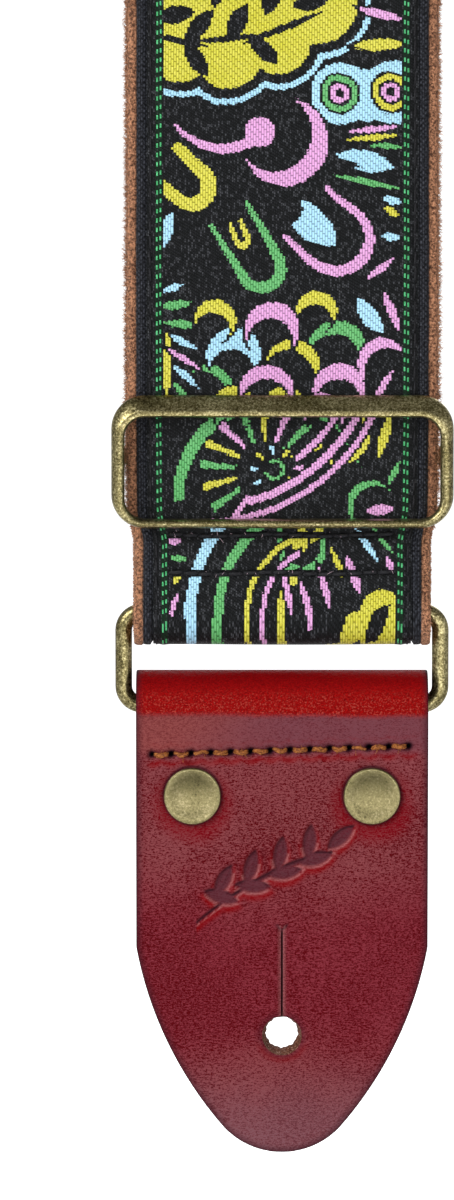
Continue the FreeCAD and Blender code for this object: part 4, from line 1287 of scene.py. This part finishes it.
def slider_piece():
    """The frame, cast with a sloping shelf over the top bar, and its two lugs."""
    low, high = box("slider_frame")
    half, z0, z1 = high[0], low[2], high[2]
    y_front, depth = low[1], 3.0
    top_bar, low_bar, side = 3.6, 1.5, 2.2
    outer = rounded_loop(half, z0, z1, 5.6)
    inner = rounded_loop(half - side, z0 + low_bar, z1 - top_bar, 3.4)
    d = outer - inner
    up = np.clip(d[:, 1] / np.maximum(np.hypot(d[:, 0], d[:, 1]), 1e-6), 0, 1) ** 2
    shelf = [(0.02, 0.0), (0.0, 0.35), (0.0, 0.74), (0.04, 0.92), (0.09, 0.985), (0.27, 1.0), (0.32, 0.985), (0.37, 0.93),
             (0.56, 0.76), (0.76, 0.57), (0.92, 0.38), (0.98, 0.28), (1.0, 0.18), (0.98, 0.0)]
    plain = [(0.02, 0.0), (0.0, 0.25), (0.0, 0.62), (0.06, 0.82), (0.16, 0.93), (0.32, 0.99), (0.46, 1.0), (0.60, 0.99),
             (0.76, 0.93), (0.88, 0.82), (0.96, 0.66), (1.0, 0.48), (1.0, 0.22), (0.98, 0.0)]
    n, m = len(outer), len(shelf)
    verts = []
    for i in range(n):
        for (a0, h0), (a1, h1) in zip(plain, shelf):
            a = a0 + (a1 - a0) * up[i]
            h = h0 + (h1 - h0) * up[i]
            x, z = inner[i] + a * d[i]
            verts.append((x, y_front + depth * (1 - h), z))
    faces = []
    for i in range(n):
        j = (i + 1) % n
        for k in range(m):
            l = (k + 1) % m
            faces.append((i * m + k, i * m + l, j * m + l, j * m + k))
    b = Bundle()
    b.add(verts, faces)
    cy = (CENTRE_LOW[1] + CENTRE_HIGH[1]) / 2
    for sx in (-1, 1):
        x0, x1 = sorted((sx * (half - 0.1), sx * (half - side + 0.1)))
        prof = [(y_front + depth * 0.7, CENTRE_BAR_Z + 2.0)]
        for i in range(13):
            a = math.radians(90 - 15 * i)
            prof.append((cy + 2.0 * math.cos(a), CENTRE_BAR_Z + 2.0 * math.sin(a)))
        prof.append((y_front + depth * 0.7, CENTRE_BAR_Z - 2.0))
        k = len(prof)
        inset = 0.25
        rings = [(x0, 1 - inset / 2), (x0 + inset, 1.0), (x1 - inset, 1.0), (x1, 1 - inset / 2)]
        verts = []
        my, mz = cy, CENTRE_BAR_Z
        for x, f in rings:
            verts += [(x, my + (y - my) * f, mz + (z - mz) * f) for y, z in prof]
        faces = [tuple(range(k)), tuple(range(4 * k - 1, 3 * k - 1, -1))]
        for r in range(3):
            for i in range(k):
                j = (i + 1) % k
                faces.append((r * k + i, (r + 1) * k + i, (r + 1) * k + j, r * k + j))
        b.add(verts, faces)
    ob = b.finish("slider_cast_frame", BRASS)
    sharp_at(ob, 38)
    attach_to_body(ob, "slider")
    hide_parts("slider_frame")


slider_piece()


# ------------------------------------------------------------------ studio
def paper(name, rgb):
    """A pale matt floor that the camera sees as evenly lit paper."""
    g = Graph(name)
    seen = g.t.nodes.new("ShaderNodeLightPath")
    tone = g.noise(g.place(), 0.004, 2.0)
    return g.out(
        base_color=g.mix(tone, rgb, tuple(0.97 * c for c in rgb)), roughness=0.8,
        emission_color=(1.0, 1.0, 1.0, 1.0), emission_strength=Val(g, seen.outputs["Is Camera Ray"]),
    )


floor_z = -0.20
mesh = bpy.data.meshes.new("floor")
mesh.from_pydata([(-3, -3, floor_z), (3, -3, floor_z), (3, 3, floor_z), (-3, 3, floor_z)], [], [(0, 1, 2, 3)])
floor_ob = bpy.data.objects.new("floor", mesh)
bpy.context.scene.collection.objects.link(floor_ob)
mesh.materials.append(paper("floor_paper", (0.93, 0.93, 0.94)))

world = bpy.data.worlds.new("studio")
bpy.context.scene.world = world
world.use_nodes = True
wt = world.node_tree
background = wt.nodes["Background"]
coord = wt.nodes.new("ShaderNodeTexCoord")
sep = wt.nodes.new("ShaderNodeSeparateXYZ")
ramp = wt.nodes.new("ShaderNodeValToRGB")
half_range = wt.nodes.new("ShaderNodeMapRange")
half_range.inputs[1].default_value, half_range.inputs[2].default_value = -1.0, 1.0
ramp.color_ramp.elements[0].color = (0.75, 0.75, 0.76, 1)
ramp.color_ramp.elements[1].color = (0.22, 0.23, 0.25, 1)
e = ramp.color_ramp.elements.new(0.5)
e.color = (0.95, 0.95, 0.96, 1)
wt.links.new(coord.outputs["Generated"], sep.inputs[0])
wt.links.new(sep.outputs[2], half_range.inputs[0])
wt.links.new(half_range.outputs[0], ramp.inputs[0])
path = wt.nodes.new("ShaderNodeLightPath")
pick = wt.nodes.new("ShaderNodeMix")
pick.data_type = "RGBA"
pick.inputs[7].default_value = (1.0, 1.0, 1.0, 1)
wt.links.new(path.outputs["Is Camera Ray"], pick.inputs[0])
wt.links.new(ramp.outputs[0], pick.inputs[6])
wt.links.new(pick.outputs[2], background.inputs[0])
strength = wt.nodes.new("ShaderNodeMix")
strength.data_type = "FLOAT"
strength.inputs[2].default_value, strength.inputs[3].default_value = 0.52, 1.15
wt.links.new(path.outputs["Is Camera Ray"], strength.inputs[0])
wt.links.new(strength.outputs[0], background.inputs[1])


def softbox(name, place, target, size, power, tint=(1, 1, 1)):
    data = bpy.data.lights.new(name, "AREA")
    data.shape, data.size, data.size_y = "RECTANGLE", size[0], size[1]
    data.energy, data.color = power, tint
    ob = bpy.data.objects.new(name, data)
    bpy.context.scene.collection.objects.link(ob)
    ob.location = place
    ob.rotation_euler = (Vector(target) - Vector(place)).to_track_quat("-Z", "Y").to_euler()


middle = (0, 0, 0.08)
softbox("key", (-0.92, -0.93, 0.90), middle, (0.7, 0.9), 17.2)
softbox("fill", (1.0, -1.1, 0.25), middle, (0.8, 1.1), 3.6)
softbox("low", (0.1, -1.1, -0.15), middle, (1.0, 0.25), 3)
softbox("back", (0.2, 1.2, 0.8), middle, (1.2, 1.0), 9)

# ------------------------------------------------------------------ camera
DISTANCE, HEIGHT_SEEN, ELEVATION = 1.1, 0.200, 6.0
cam = bpy.data.cameras.new("camera")
cam.lens = 36.0 * DISTANCE / HEIGHT_SEEN
cam_ob = bpy.data.objects.new("camera", cam)
bpy.context.scene.collection.objects.link(cam_ob)
aim = Vector((-9.2 * MM, 0, 73.3 * MM))
lift = math.radians(ELEVATION)
cam_ob.location = aim + DISTANCE * Vector((0, -math.cos(lift), math.sin(lift)))
cam_ob.rotation_euler = (aim - cam_ob.location).to_track_quat("-Z", "Y").to_euler()
bpy.context.scene.camera = cam_ob
bpy.context.scene.view_settings.view_transform = "Standard"
